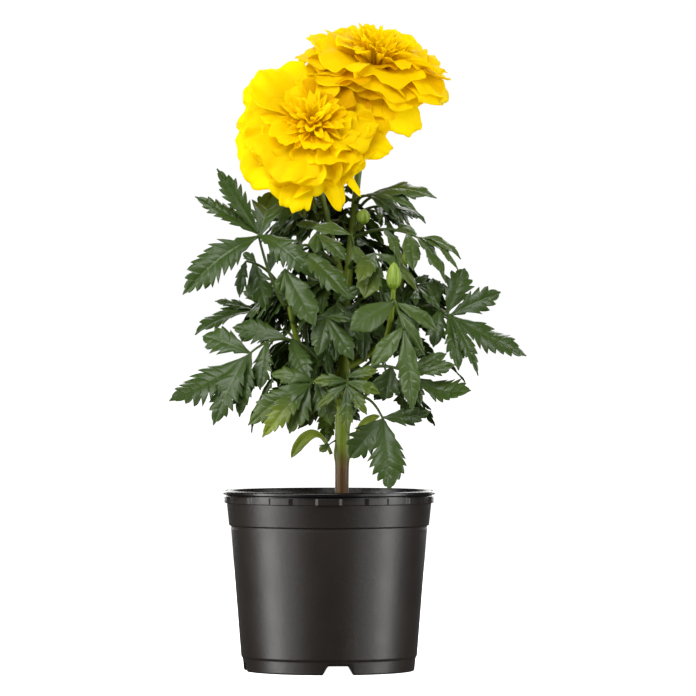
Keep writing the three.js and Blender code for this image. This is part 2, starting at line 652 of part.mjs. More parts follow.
/** Along, across and up at a share of one leaflet, which arches from its root to its tip. */
function leafletFrame(pose, [place, tip, , arch = LEAF.arch], share) {
  const root = pose.rachis.getPoint(place);
  const end = pose.placed(tip);
  const top = root.clone().lerp(end, LEAF.archTop);
  top.addScaledVector(pose.face, 2 * arch * root.distanceTo(end));
  const curve = new THREE.QuadraticBezierCurve3(root, top, end);
  const along = curve.getTangent(share);
  const across = pose.face.clone().cross(along).normalize();
  return { origin: curve.getPoint(share), along, across, up: along.clone().cross(across) };
}

/** Half the outline of a leaflet with saw teeth, as [share of length, share of half width]. */
function leafletEdge(length) {
  const root = [0.13, 0.2];
  if (length < 21) return [root, [0.56, 1]];
  if (length < 27) return [root, [0.5, 1], [0.6, 0.62]];
  return [root, [0.4, 0.86], [0.47, 0.62], [0.68, 1], [0.75, 0.6]];
}

/** A whole leaf as one thin arched sheet, cut in to its rachis between the leaflets. */
function leafSolid(leaf, turn, grow = 0) {
  const pose = leafPose(leaf, turn);
  const points = [];
  const add = (flat, frame, side, thickness) => {
    const top = frame.origin.clone().addScaledVector(frame.across, side);
    const bottom = top.clone().addScaledVector(frame.up, -thickness - grow);
    points.push({ flat, top: top.addScaledVector(frame.up, grow), bottom });
  };
  const sideOf = ([place, tip]) => {
    const { origin, across } = rachisFrame(pose, place);
    return Math.sign(pose.placed(tip).sub(origin).dot(across)) || 1;
  };
  const [first, ...others] = leaf.leaflets;
  const inOrder = (side) => others.filter((leaflet) => sideOf(leaflet) === side).sort((a, b) => a[0] - b[0]);
  const [right, left] = [inOrder(-1), inOrder(1)];
  const steps = Math.max(right.length, left.length) + 1;

  // The flat layout only tells the triangles: leaflets stand square to the rachis, a step apart.
  const lowest = Math.min(...leaf.leaflets.map(([place]) => place));
  const petiole = (side) => [0, 0.5 * lowest].map((place, k) => () => {
    const half = side * LEAF.rachisHalfWidth;
    add([0.5 * k, 0.2 * side], rachisFrame(pose, place), half, LEAF.rachisThickness);
  });
  const around = (leaflet, lay) => {
    const [place, tip, width] = leaflet;
    const edge = leafletEdge(pose.rachis.getPoint(place).distanceTo(pose.placed(tip)));
    const put = (share, half) => {
      add(lay(share * 6, 0.4 * half), leafletFrame(pose, leaflet, share), (half * width) / 2, LEAF.thickness);
    };
    edge.forEach(([share, half]) => put(share, -half));
    put(1, 0);
    [...edge].reverse().forEach(([share, half]) => put(share, half));
  };
  petiole(-1).forEach((put) => put());
  right.forEach((leaflet, k) => around(leaflet, (out, side) => [k + 1 + side, -0.2 - out]));
  around(first, (out, side) => [steps + out, side]);
  [...left.keys()].reverse().forEach((k) => around(left[k], (out, side) => [k + 1 - side, 0.2 + out]));
  petiole(1).reverse().forEach((put) => put());

  const contour = points.map(({ flat }) => new THREE.Vector2(...flat));
  const faces = THREE.ShapeUtils.triangulateShape(contour, []).map(([a, b, c]) => {
    const turned = contour[b].clone().sub(contour[a]).cross(contour[c].clone().sub(contour[a]));
    return turned > 0 ? [a, b, c] : [a, c, b];
  });
  const rim = points.map((_, i) => i);
  return solidOf(thinBody(points.map((p) => p.top), points.map((p) => p.bottom), faces, rim));
}

/** The leaves of the sides and back, in the same form as the ones set by hand. */
function fillLeaves() {
  const draw = seeded(FILL_SEED);
  const vary = (amount) => amount * (2 * draw() - 1);
  return FILL_TIERS.flatMap((tier, level) => Array.from({ length: tier.count }, (_, k) => {
    const turn = radians(mix(tier.first, tier.last, k / (tier.count - 1)) + vary(5));
    const [c, s] = [Math.cos(turn), Math.sin(turn)];
    const near = BRANCHES.map((name) => ({ name, to: limbCurve(name).getPoint(tier.at) }))
      .sort((a, b) => (b.to.x * c + b.to.y * s) - (a.to.x * c + a.to.y * s))[0].name;
    const limb = tier.from === 'trunk' ? 'trunk' : near;
    const at = tier.at + tier.climb * (((2 * k) % tier.count) / tier.count - 0.5) + vary(0.01);
    const foot = limbCurve(limb).getPoint(at);
    const spread = tier.spread * (1 + vary(0.08));
    const end = [spread * c, spread * s, tier.z + vary(4)];
    const via = [mix(foot.x, end[0], 0.5), mix(foot.y, end[1], 0.5), Math.max(foot.z, end[2]) + 8 + vary(3)];
    const reach = tier.reach * (1 + vary(0.12));
    const face = [FILL_LEAF.outward * c, FILL_LEAF.outward * s, FILL_LEAF.upward];
    const leaf = { limb, at, via, end, face };
    const leaflet = (place, angle, length) => {
      const { origin, along, across } = rachisFrame(leafPose(leaf), place);
      const aside = radians(angle);
      const tip = origin.addScaledVector(along, length * Math.cos(aside));
      tip.addScaledVector(across, length * Math.sin(aside));
      return [place, [tip.x, tip.y, tip.z - tier.sag * length], FILL_LEAF.width * length];
    };
    const leaflets = [leaflet(1, 0, reach)];
    for (let p = 0; p < tier.pairs; p++) {
      const [place, angle, length] = [0.95 - 0.21 * p, 44 + 34 * p + vary(5), reach * (0.9 - 0.14 * p)];
      leaflets.push(leaflet(place, angle, length), leaflet(place - 0.03, vary(4) - angle, length * 0.96));
    }
    return { name: `leaf_fill_${level + 1}_${k + 1}`, ...leaf, leaflets };
  }));
}

const boxesMeet = (a, b) => [0, 1, 2].every((k) => a.min[k] <= b.max[k] && b.min[k] <= a.max[k]);

/** True where two solids share no space. */
function clearOf(solid, other) {
  if (!boxesMeet(solid.boundingBox(), other.boundingBox())) return true;
  return solid.intersect(other).volume() < TOUCH_VOLUME;
}

/** Adds a leaf's solid, turned clear of the solids that stand already, where it finds room. */
function addClear(leaf, standing) {
  const isClear = (turn) => {
    const wide = leafSolid(leaf, turn, CLEARANCE);
    return standing.every((solid) => clearOf(wide, solid));
  };
  const turn = TURNS.find(isClear);
  if (!turn) return;
  const solid = leafSolid(leaf, turn);
  standing.push(solid);
  plant.add(meshOf(leaf.name, solid, LEAF_GREEN));
}

/** One of the two smooth seed leaves: a narrow stalk that widens to a spoon and curls over. */
function seedLeafSolid({ path, width }) {
  const curve = bendOf(path);
  const halves = [[0, 0.14], [0.3, 0.16], [0.55, 0.42], [0.72, 0.5], [0.88, 0.42], [1, 0.12]];
  const [top, bottom] = [[], []];
  for (const [share, half] of halves) {
    const along = curve.getTangent(share);
    const across = new THREE.Vector3(0, -1, 0.35).cross(along).normalize();
    const up = along.clone().cross(across);
    for (const side of [-1, 1]) {
      const point = curve.getPoint(share).addScaledVector(across, side * half * width);
      top.push(point);
      bottom.push(point.clone().addScaledVector(up, -1));
    }
  }
  const { faces, rim } = stitched(halves.map(() => 2));
  return solidOf(thinBody(top, bottom, faces, rim));
}

// ---------------------------------------------------------------- cups, buds and heads

/** Carries a geometry that stands on the origin to a foot, with its +Z along an axis. */
function standOn(geometry, foot, axis) {
  const turn = new THREE.Quaternion().setFromUnitVectors(new THREE.Vector3(0, 0, 1), vec(axis).normalize());
  return geometry.applyQuaternion(turn).translate(...foot);
}

function lathedOn(profile, sides, foot, axis) {
  return solidOf(standOn(turnedBody(profile, sides), foot, axis));
}

/** Right and top of a head as seen by someone it faces, and its facing axis. */
function headFrame({ axis }) {
  const facing = vec(axis).normalize();
  const right = new THREE.Vector3(0, 0, 1).cross(facing).normalize();
  return { facing, right, top: facing.clone().cross(right) };
}

/** One petal: a narrow claw that widens to a fan with a ruffled outer edge. */
function petalSolid(head, base, petal, grow = 0) {
  const { facing, right, top } = headFrame(head);
  const turn = radians(petal.turn);
  const outward = right.clone().multiplyScalar(Math.cos(turn)).addScaledVector(top, Math.sin(turn));
  const root = base.clone().addScaledVector(outward, petal.root).addScaledVector(facing, petal.height);
  const tilt = radians(petal.tilt);
  const start = facing.clone().multiplyScalar(Math.cos(tilt)).addScaledVector(outward, Math.sin(tilt));
  const back = outward.clone().multiplyScalar(Math.cos(tilt)).addScaledVector(facing, -Math.sin(tilt));
  const sideways = facing.clone().cross(outward);
  const rows = petal.width > FLORET_WIDTH ? PETAL_ROWS : FLORET_ROWS;
  const arc = petal.reach / radians(petal.curl);
  const [upper, lower] = [[], []];
  rows.forEach(({ share, half, sides }) => sides.forEach((side, k) => {
    const out = share === 1 ? 1 - PETAL_BOW.tip * side * side : share;
    const bend = radians(petal.curl) * out;
    const up = start.clone().multiplyScalar(Math.sin(bend)).addScaledVector(back, -Math.cos(bend));
    const point = root.clone().addScaledVector(start, arc * Math.sin(bend));
    point.addScaledVector(back, arc * (1 - Math.cos(bend)));
    const wave = share === 1 ? petal.ruffle * (k % 2 ? 1 : -1) : 0;
    const aside = side * half * petal.width;
    point.addScaledVector(sideways, aside).addScaledVector(up, wave + PETAL_BOW.side * aside);
    lower.push(point.clone().addScaledVector(up, -PETAL_THICKNESS - grow));
    upper.push(point.addScaledVector(up, grow));
  }));
  const { faces, rim } = stitched(rows.map(({ sides }) => sides.length));
  return solidOf(thinBody(upper, lower, faces, rim));
}

function cupTop(head) {
  const height = CUP_PROFILE.at(-1)[1] + SEAT_GAP;
  return vec(head.foot).addScaledVector(vec(head.axis).normalize(), height);
}

/** A whole head: rings of petals and a few loose ones, standing out of a smaller core. */
function headSolid(head, standing) {
  const base = cupTop(head);
  const { radius, height, lift } = head.core;
  const placed = (geometry) => solidOf(standOn(standUp(geometry), base.toArray(), head.axis));
  const ball = new THREE.SphereGeometry(1, 10, 6).scale(radius, height, radius).translate(0, lift, 0);
  const under = new THREE.CylinderGeometry(2 * radius, 2 * radius, 2 * height, 8).translate(0, -height, 0);
  const petals = head.rings.flatMap((ring) => Array.from({ length: ring.count }, (_, k) => (
    { ...ring, turn: ring.start + (360 * k) / ring.count }
  )));
  const blades = [...petals, ...head.loose].map((petal) => {
    const tilted = (extra) => ({ ...petal, tilt: petal.tilt + extra });
    const isClear = (extra) => {
      const wide = petalSolid(head, base, tilted(extra), CLEARANCE);
      return standing.every((solid) => clearOf(wide, solid));
    };
    return petalSolid(head, base, tilted(PETAL_TILTS.find(isClear)));
  });
  return joined([placed(ball).subtract(placed(under)), ...blades]);
}

// ---------------------------------------------------------------- the whole plant

const plant = new THREE.Group();

const inPot = (solid) => solid.translate([POT_AXIS_X, 0, 0]);
plant.add(meshOf('pot', inPot(potSolid()), PLASTIC));
plant.add(meshOf('potting_mix', inPot(soilSolid()), EARTH));

const stem = joined(Object.keys(LIMBS).map(limbSolid));
plant.add(meshOf('stem', stem, STALK));

const standing = [stem];
for (const [side, head] of Object.entries(HEADS)) {
  const cup = lathedOn(CUP_PROFILE, 10, head.foot, head.axis);
  const bloom = headSolid(head, standing);
  plant.add(meshOf(`cup_${side}`, cup, LEAF_GREEN), meshOf(`bloom_${side}`, bloom, PETAL_YELLOW));
  standing.push(cup, bloom);
}
for (const bud of BUDS) {
  const profile = BUD_PROFILE.map(([r, z]) => [r * bud.width, z * bud.height]);
  const axis = limbCurve(bud.limb).getTangent(1);
  const foot = limbCurve(bud.limb).getPoint(1).addScaledVector(axis, SEAT_GAP);
  const solid = lathedOn(profile, 8, foot.toArray(), axis.toArray());
  plant.add(meshOf(bud.name, solid, YOUNG_GREEN));
  standing.push(solid);
}
for (const seedLeaf of SEED_LEAVES) {
  const solid = seedLeafSolid(seedLeaf);
  plant.add(meshOf(seedLeaf.name, solid, YOUNG_GREEN));
  standing.push(solid);
}
for (const leaf of [...LEAVES, ...fillLeaves()]) addClear(leaf, standing);

export default plant;
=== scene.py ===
"""A double yellow marigold in its round plastic nursery pot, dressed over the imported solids.

Every piece is worked out in millimetres in the frame of the solids, +Z up, with the front of the
plant towards -Y, and is turned into metres when its object is made. A finer piece replaces each
plain solid and keeps its place and form: blades with saw teeth and veins, ruffled petals, ribbed
cups and buds, a crumbly potting mix and a pot with rounded edges.
"""

import math

import bpy
import numpy as np
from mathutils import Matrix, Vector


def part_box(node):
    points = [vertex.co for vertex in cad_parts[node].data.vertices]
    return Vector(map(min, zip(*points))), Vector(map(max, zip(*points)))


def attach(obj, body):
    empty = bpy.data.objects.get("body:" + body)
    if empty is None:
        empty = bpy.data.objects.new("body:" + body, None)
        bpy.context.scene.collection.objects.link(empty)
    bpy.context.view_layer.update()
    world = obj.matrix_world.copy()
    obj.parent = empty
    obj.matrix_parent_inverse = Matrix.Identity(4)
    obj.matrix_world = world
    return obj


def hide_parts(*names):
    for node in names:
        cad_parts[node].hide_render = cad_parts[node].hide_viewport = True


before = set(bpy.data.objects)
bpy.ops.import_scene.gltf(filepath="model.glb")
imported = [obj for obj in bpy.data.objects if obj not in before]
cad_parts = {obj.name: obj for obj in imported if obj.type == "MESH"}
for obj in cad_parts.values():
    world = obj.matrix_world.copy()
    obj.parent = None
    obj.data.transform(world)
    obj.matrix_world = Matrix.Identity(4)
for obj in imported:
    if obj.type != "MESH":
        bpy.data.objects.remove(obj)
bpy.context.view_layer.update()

# ---------------------------------------------------------------- dimensions of the solids

POT_AXIS_X = -10.7
POT = {
    "height": 102, "lip_radius": 60, "lip_height": 2.6, "lug_radius": 59.2,
    "collar_radius": 58.2, "collar_height": 4.6, "band_top": 57.9, "band_bottom": 56.6,
    "band_height": 12.4, "body_top": 55.5, "step_height": 2.2, "body_bottom": 49.8,
    "foot_top": 49.0, "foot": 48.4, "foot_height": 7.2, "foot_groove": 1.4, "floor": 6.4,
    "wall": 1.3,
}
POT_SIDES = 416
# Turns are in degrees. A lug rises over its slope, and a notch is cut from all outside its radius.
LUGS = {"count": 13, "share": 0.5, "first_turn": -90 - 360 / 52, "slope": 0.7, "below_lip": 0.75}
NOTCH = {
    "count": 4, "first_turn": -83.6, "bottom": 18, "top": 11.7, "height": 5.1, "radius": 30,
}
DRAIN = {"count": 8, "radius": 3.5, "circle": 34, "first_turn": 6.4}
# The gap is from the pot's wall. Bits lie inside the margin and clear of the trunk's middle.
SOIL = {"top": 90, "gap": 0.35, "sides": 200, "bits": 420, "margin": 2.5, "clear": 5.5}
# The lumps of the potting mix, as [ripples to a radian, height].
LUMPS = [[0.9, 0.5], [1.3, 0.5], [1.9, 0.4], [2.6, 0.3], [3.4, 0.25], [4.4, 0.2]]
SEAT_GAP = 0.3
# How far a leaf's foot stands off its limb, and how much further where it slants away from it.
LEAF_SEAT = {"gap": 0.4, "slant": 1.8}

LIMBS = {
    "trunk": {
        "path": [[-3.6, 0, 61], [-3.9, 0, 140], [-1, 0, 216]],
        "radii": [3.3, 3.4, 3.5, 4.2, 3.8, 3.3, 2.8],
    },
    "front_stalk": {
        "from": [-1.2, 0, 211], "head": "front", "bend": 22,
        "radii": [2.4, 2.0, 1.9, 2.2, 2.7],
    },
    "back_stalk": {
        "from": [-1, 0, 211], "head": "back", "bend": 26,
        "radii": [2.6, 2.1, 2.0, 2.2, 2.7],
    },
    "left_branch": {
        "path": [[-3.6, 0, 150], [-27, -10, 164], [-34, -14, 212]],
        "radii": [2.4, 2.1, 1.9, 1.6, 1.2],
    },
    "right_branch": {
        "path": [[-2.8, 0, 158], [24, -22, 168], [25.4, -26, 215.6]],
        "radii": [2.4, 2.1, 1.9, 1.6, 1.4],
    },
    "right_rear_branch": {
        "path": [[-2.6, 0, 172], [26, 8, 178], [32, 12, 229.6]],
        "radii": [2.2, 1.9, 1.7, 1.4, 1.1],
    },
    "left_rear_branch": {
        "path": [[-3.2, 0, 166], [-24, 20, 174], [-34, 30, 222]],
        "radii": [2.2, 1.9, 1.7, 1.4, 1.1],
    },
    "rear_branch": {
        "path": [[-2.4, 0, 176], [4, 28, 184], [10, 38, 236]],
        "radii": [2.2, 1.9, 1.7, 1.4, 1.1],
    },
    "bud_stalk": {
        "path": [[2, 14, 250], [7.5, 6, 249], [8.2, 1, 254]],
        "radii": [1.3, 1.1, 1.2],
    },
}
STEM_JOINT = {"z": 123, "reach": 6, "extra": 0.7}
# The trunk thickens by so much, from one height down to the next: [extra, start, end].
TRUNK_SWELLS = [[0.4, 150, 120], [0.6, 96, 88]]

CUP_PROFILE = [[0, 0], [2.7, 0], [4.6, 4], [6.2, 10], [6.8, 14], [7.6, 17]]
BUD_PROFILE = [[0, 0], [0.16, 0], [0.42, 0.16], [0.5, 0.42], [0.4, 0.7], [0.2, 0.92], [0.04, 1]]
# Each bud's name, limb, width and height.
BUDS = [
    ["bud_large", "right_branch", 8.6, 15], ["bud_small", "right_rear_branch", 5.6, 8],
    ["bud_upper", "bud_stalk", 8, 9],
]

# A head's petals. Angles are in degrees: `turn` goes round the head from its right, and `tilt` is
# measured from the head's axis. The outer petals are listed one by one, and a low `fan` gives a
# squarer end. Rings fill the head inside them, each petal as long as `outline` lets it be at its
# turn, and florets fill the middle, with their roots spread over a circle. `shade` is the range
# that is drawn from for the rings. Above 0.8 it turns a petal deep gold, a painted shade: the rings
# take it near the turn `hollow`, where the heads shade each other, and so do the outer petals
# there.
PETAL_PARTS = ("turn", "tilt", "curl", "reach", "width", "ruffle", "shade", "fan")
RING_PARTS = ("count", "root", "height", "tilt", "curl", "reach", "width", "ruffle", "start")
PAINTED_SHADE_SPAN = 26
SMOOTH_RUFFLE = 0.95  # outer petals with less ruffle than this are flat and plainly folded
PETAL_THICKNESS = 0.22
OUTER_SEAT = {"root": 4.5, "height": 3}
GOLDEN_TURN = 137.5  # from one floret to the next, in degrees
HEADS = {
    "front": {
        "foot": [-19.5, 1, 295.3],
        "axis": [0, -0.87, 0.5],
        "outer": [
            [6, 90, 20, 39, 31, 1.4, 0.88, 56], [26, 93, 16, 38, 30, 1.4, 1.0, 56],
            [345, 83, 20, 42, 21, 1.5, 0.35, 50], [318, 86, 30, 32, 28, 2.2, 0.2, 50],
            [299, 88, 30, 33, 27, 2.3, 0.1, 48], [272, 88, 30, 35, 31, 2.4, 0.1, 48],
            [246, 91, 24, 41, 31, 2.4, 0.1, 48], [220, 88, 22, 45, 34, 2.2, 0.0, 50],
            [192, 89, 22, 42, 36, 1.8, 0.1, 56], [164, 88, 22, 41, 36, 1.8, 0.2, 56],
            [136, 89, 16, 46, 34, 1.6, 0.1, 48], [109, 91, 18, 43, 34, 1.7, 0.2, 56],
            [84, 91, 20, 39, 31, 1.7, 0.3, 56], [56, 84, 30, 28, 26, 1.7, 0.9, 56],
            [257, 99, 8, 46, 18, 0.7, 0.1, 24], [290, 100, 10, 45, 15, 0.7, 0.3, 62],
            [306, 97, 4, 43, 7, 0.4, 0.2, 60],
        ],
        "outline": [
            [0, 0.95], [25, 0.8], [42, 0.7], [60, 0.72], [80, 0.95], [135, 1.03], [180, 1],
            [220, 1.05], [250, 1], [276, 0.86], [318, 0.82], [330, 0.74], [342, 0.9], [360, 0.95],
        ],
        "rings": [
            [7, 5, 3.2, 80, 22, 39, 40, 3.2, 28],
            [6, 5, 3.8, 74, 24, 34, 35, 3.3, 6],
            [6, 5, 4, 66, 22, 29, 27, 2.7, 30],
            [5, 5, 4.4, 52, 22, 24, 18, 1.8, 60],
        ],
        "florets": {
            "count": 44, "spread": 52, "reach": 17, "height": 6, "width": 4.2, "circle": 6,
        },
        "shade": [0.0, 0.35],
        "hollow": 47,
    },
    "back": {
        "foot": [11.5, 21.5, 321.5],
        "axis": [0.2, -0.32, 0.92],
        "outer": [
            [152, 85, 14, 42, 34, 1.8, 0.4, 52], [129, 74, 8, 40, 34, 1.8, 0.5, 50],
            [108, 64, 8, 36, 30, 1.8, 0.6, 50], [84, 62, 8, 35, 28, 1.8, 0.6, 50],
            [60, 66, 8, 36, 32, 1.8, 0.6, 50], [36, 64, 8, 38, 36, 1.4, 0.6, 52],
            [12, 68, 16, 39, 40, 1.2, 0.5, 54], [349, 75, 30, 40, 44, 1.0, 0.5, 54],
            [324, 80, 36, 42, 54, 0.9, 0.25, 54], [296, 86, 42, 32, 32, 1.2, 0.3, 56],
            [270, 90, 42, 34, 30, 1.4, 0.3, 56], [238, 86, 44, 29, 28, 1.4, 0.95, 56],
            [209, 80, 36, 31, 30, 1.6, 0.2, 56], [190, 84, 30, 39, 34, 1.8, 0.3, 56],
            [170, 90, 18, 42, 32, 1.8, 0.4, 56],
            [280, 118, 10, 42, 27, 0.7, 0.05, 34], [256, 112, 20, 34, 26, 1.2, 0.8, 56],
        ],
        "outline": [[0, 1], [180, 1], [206, 0.85], [232, 0.7], [254, 0.75], [276, 0.9], [360, 1]],
        "rings": [
            [6, 5, 3.4, 74, 48, 41, 44, 2.4, 18],
            [5, 4.5, 4.2, 60, 50, 38, 40, 2.6, 44],
            [5, 4, 5, 44, 42, 29, 29, 2.4, 10],
            [6, 3.2, 5.5, 28, 24, 24, 16, 1.6, 30],
        ],
        "florets": {
            "count": 50, "spread": 38, "reach": 21.5, "height": 6, "width": 4.2, "circle": 6.5,
        },
        "shade": [0.05, 0.5],
        "hollow": 218,
    },
}
CORE_PROFILE = [[0.01, 0], [5.4, 0], [6.4, 3], [5, 7.5], [0.01, 10]]

# A leaf's limb and place on it, the bend of its rachis, the way its upper side faces, and its
# leaflets: [place on the rachis, tip, width, how high it arches]. ARCH is for leaves that a rule
# places, and ARCH_TOP is how far along a leaflet its arch is highest.
ARCH = 0.09
ARCH_TOP = 0.45
LEAF_PARTS = ("name", "limb", "at", "via", "end", "face", "leaflets")
LEAF_ROWS = [
    ["front_right", "right_branch", 0.93, [26.5, -36, 210], [31.5, -43, 192.5], [0.05, -0.97, 0.25],
     [[1, [36, -51, 147], 12.5, 0.04], [0.95, [13, -49, 172], 11, 0.06],
      [0.6, [43, -41, 178], 5, 0.15], [0.28, [1, -48, 192.5], 16, 0.06],
      [0.3, [51, -35, 191], 7, 0.18]]],
    ["left_front", "left_branch", 0.84, [-33, -31, 222], [-35.5, -36, 226.5], [0, -0.9, 0.42],
     [[1, [-18.5, -46, 194.5], 14, 0.06], [0.95, [-38.5, -36, 213], 6, 0.1]]],
    ["upper_left", "left_branch", 0.95, [-45, -19.5, 222], [-50.5, -24, 247], [-0.1, -0.86, 0.5],
     [[1, [-73.5, -30, 283], 13, 0.05], [0.99, [-86, -22, 267.5], 11, 0.05],
      [0.96, [-92.5, -29, 212.5], 16, 0.08], [0.95, [-42, -10, 271], 13, 0.04],
      [0.97, [-19, -42, 222], 13, 0.17]]],
    ["left_long", "front_stalk", 0.14, [-26, -22, 246], [-27, -35, 237], [0.1, -0.88, 0.46],
     [[1, [1, -52, 209.5], 13, 0.08], [0.7, [-40, -36, 231], 8, 0.1]]],
    ["lower_left", "trunk", 0.64, [-30, -24, 204], [-57, -36, 177.5], [-0.25, -0.85, 0.45],
     [[1, [-99.5, -50, 153], 17, 0.12], [0.98, [-75, -47, 139.5], 14, 0.07],
      [0.95, [-60.5, -43, 144], 11, 0.07], [0.78, [-49, -41, 159], 10, 0.07],
      [0.52, [-21.5, -43, 163.5], 11, 0.08], [0.96, [-81.5, -26, 189], 14, 0.1],
      [0.56, [-65, -12, 194], 12, 0.08]]],
    ["lower_front", "trunk", 0.6, [-12, -36, 172], [-22, -51, 161.5], [0, -0.9, 0.42],
     [[1, [-47.5, -62, 133], 11, 0.1], [0.97, [-32.5, -58, 135], 12, 0.06],
      [0.78, [-9.5, -51, 139.5], 11, 0.1], [0.96, [-55.5, -53, 139.5], 13, 0.16],
      [0.85, [-43, -44, 168], 9, 0.1]]],
    ["lower_right", "trunk", 0.56, [10, -34, 164], [20, -42, 142], [0.1, -0.94, 0.3],
     [[1, [23, -54, 103.5], 17, 0.06], [0.98, [0.5, -46, 121], 14, 0.1],
      [0.96, [46.5, -40, 147], 9, -0.1]]],
    ["right_lower", "trunk", 0.67, [24, -28, 175], [41.5, -32, 160.5], [0.1, -0.8, 0.55],
     [[1, [73.5, -37, 150], 12, 0.08], [0.98, [65, -30, 165.5], 8, 0.06],
      [0.92, [60, -25, 172.5], 8, 0.06], [0.9, [38.5, -39, 147], 6, 0.08],
      [0.97, [45, -40, 144], 7, 0.1], [0.66, [24, -30, 149.5], 14, 0.1],
      [0.72, [47, -16, 178], 8, 0.08]]],
    ["right_middle", "right_rear_branch", 0.6, [42, -4, 214], [58, -14, 200.5], [0.2, -0.85, 0.48],
     [[1, [100, -26, 178], 17, 0.1], [0.99, [86, -14, 214], 12, 0.05],
      [0.93, [66, -4, 227.5], 14, 0.06], [0.98, [73, -27, 167], 7, 0.1],
      [0.95, [62, -27, 170], 10, 0.08], [0.8, [48, -19, 183], 10, 0.1],
      [0.76, [48, 0, 222], 9, 0.08]]],
    ["right_upper", "back_stalk", 0.22, [24, 4, 254], [40, -7, 244.5], [0.2, -0.5, 0.84],
     [[1, [63.5, -15, 232.5], 6, 0.14], [0.98, [62, -19, 226], 5, 0.15],
      [0.94, [55, -22, 219], 8, 0.12], [0.8, [36.5, -20, 226], 9, 0.08],
      [0.4, [29.5, -20, 228.5], 6, 0.12], [0.62, [39, 6, 247], 9, 0.25]]],
    ["top_right", "back_stalk", 0.36, [7, 11, 270], [12, 5, 268.5], [-0.05, -0.6, 0.8],
     [[1, [50, -9, 267], 10, 0.15], [0.94, [38, -12, 260.5], 7, 0.16],
      [0.7, [32, 9, 252], 10, 0.22]]],
    ["front_upper", "front_stalk", 0.27, [-13, -14, 253], [-17.5, -27, 242.5], [0.1, -0.8, 0.6],
     [[1, [-1, -37, 227], 9, 0.08], [0.9, [-18.5, -34, 230.5], 7, 0.08],
      [0.6, [-29, -16, 249], 6, 0.1]]],
    ["front_pale", "back_stalk", 0.1, [5, -10, 236], [1.5, -18, 246], [0.1, -0.75, 0.65],
     [[1, [-20.5, -25, 249.5], 9, 0.12], [0.7, [8, -24, 228], 8, 0.08]]],
    ["front_middle", "trunk", 0.84, [-10, -22, 208], [-12, -36, 199], [0.1, -0.88, 0.46],
     [[1, [3, -45, 175.5], 10, 0.08], [0.95, [1.5, -42, 197.5], 6, 0.12],
      [0.9, [-17, -42, 178], 10, 0.08]]],
    ["front_low", "trunk", 0.63, [5, -34, 180], [7, -54, 167], [0, -0.85, 0.52],
     [[1, [8, -60, 141.5], 7, 0.05], [0.96, [-9, -59, 155], 6, 0.08],
      [0.9, [-12, -52, 169], 7, 0.08], [0.98, [19, -59, 152], 6, 0.08],
      [0.92, [25, -52, 163], 7, 0.1], [0.8, [23, -44, 175], 7, 0.1]]],
    ["right_inner", "right_branch", 0.8, [19, -14, 232], [19, -18, 237], [0.1, -0.88, 0.46],
     [[1, [5.5, -36, 219.5], 10, 0.12], [0.9, [9, -31, 210.5], 13, 0.08],
      [0.95, [42, -13, 213.5], 7, 0.2]]],
    ["left_small", "left_branch", 0.98, [-42, -8, 229], [-57.5, -11, 231.5], [-0.2, -0.75, 0.6],
     [[1, [-61, -17, 211], 9, 0.1], [0.86, [-46, -13, 204], 12, 0.1],
      [0.8, [-59, 0, 236.5], 5, 0.05], [0.5, [-39, -2, 242], 7, 0.1]]],
    ["left_middle", "left_rear_branch", 0.5, [-34, 14, 206], [-52, 8, 203.5], [-0.2, -0.55, 0.82],
     [[1, [-86.5, -1, 190], 15, 0.1], [0.97, [-75.5, 8, 209], 7, 0.03],
      [0.85, [-57, 20, 219], 10, 0.08], [0.85, [-60, -4, 186], 12, 0.08]]],
    ["top_left", "front_stalk", 0.4, [-26, 8, 257], [-33, 4, 254], [-0.1, -0.7, 0.7],
     [[1, [-47, 4, 259], 8, 0.06], [0.8, [-42, 0, 243], 8, 0.08], [0.6, [-21, -8, 263], 6, 0.1]]],
    ["sprig", "trunk", 0.44, [-9.5, -3, 129], [-10.5, -4, 128], [0, -0.9, 0.4],
     [[1, [-16, -6, 124], 4.5, 0.1]]],
]
LEAVES = [dict(zip(LEAF_PARTS, ["leaf_" + row[0], *row[1:]])) for row in LEAF_ROWS]

# The leaves of the sides and back follow the same seeded rule as their solids.
FILL_SEED = 20
FILL_LEAF = {"outward": 0.75, "upward": 0.6, "width": 0.37, "pairs": 2}
TIER_PARTS = ("count", "first", "last", "z", "reach", "spread", "limb", "at", "climb", "sag")
FILL_TIERS = [
    [4, 36, 140, 160, 27, 36, "trunk", 0.57, 0.08, 0.3],
    [6, 8, 172, 184, 28, 41.5, "trunk", 0.72, 0.12, 0.4],
    [7, 0, 180, 214, 27, 38, "branches", 0.56, 0.24, 0.4],
    [5, 36, 144, 243, 28, 30, "branches", 0.84, 0.2, 0.4],
    [6, -165, -15, 216, 24, 17, "trunk", 0.86, 0.22, 0.4],
]
BRANCHES = [
    "right_rear_branch", "rear_branch", "left_rear_branch", "left_branch", "right_branch",
]
# The turns that a leaf's solid may have taken about its foot, the smallest first, and how near its
# box has to come to be the one, in millimetres.
SAME_BOX = 0.05
SWINGS = [0, 8, -8, 16, -16, 24, -24, 34, -34, 46, -46]
LIFTS = [0, 6, -6, 12, -12, 20, -20, 30, -30]
TURNS = sorted(
    ((swing, lift) for swing in SWINGS for lift in LIFTS),
    key=lambda turn: abs(turn[0]) + abs(turn[1]),
)

# Each seed leaf's name, bend and width.
SEED_LEAVES = [
    ["seed_leaf_left", [[-9.6, -1, 122.5], [-18, -4, 146], [-32, -6, 120.5]], 7],
    ["seed_leaf_right", [[2.4, -1, 124.5], [4, -4, 141], [18, -8, 144]], 5],
]

# ---------------------------------------------------------------- looks

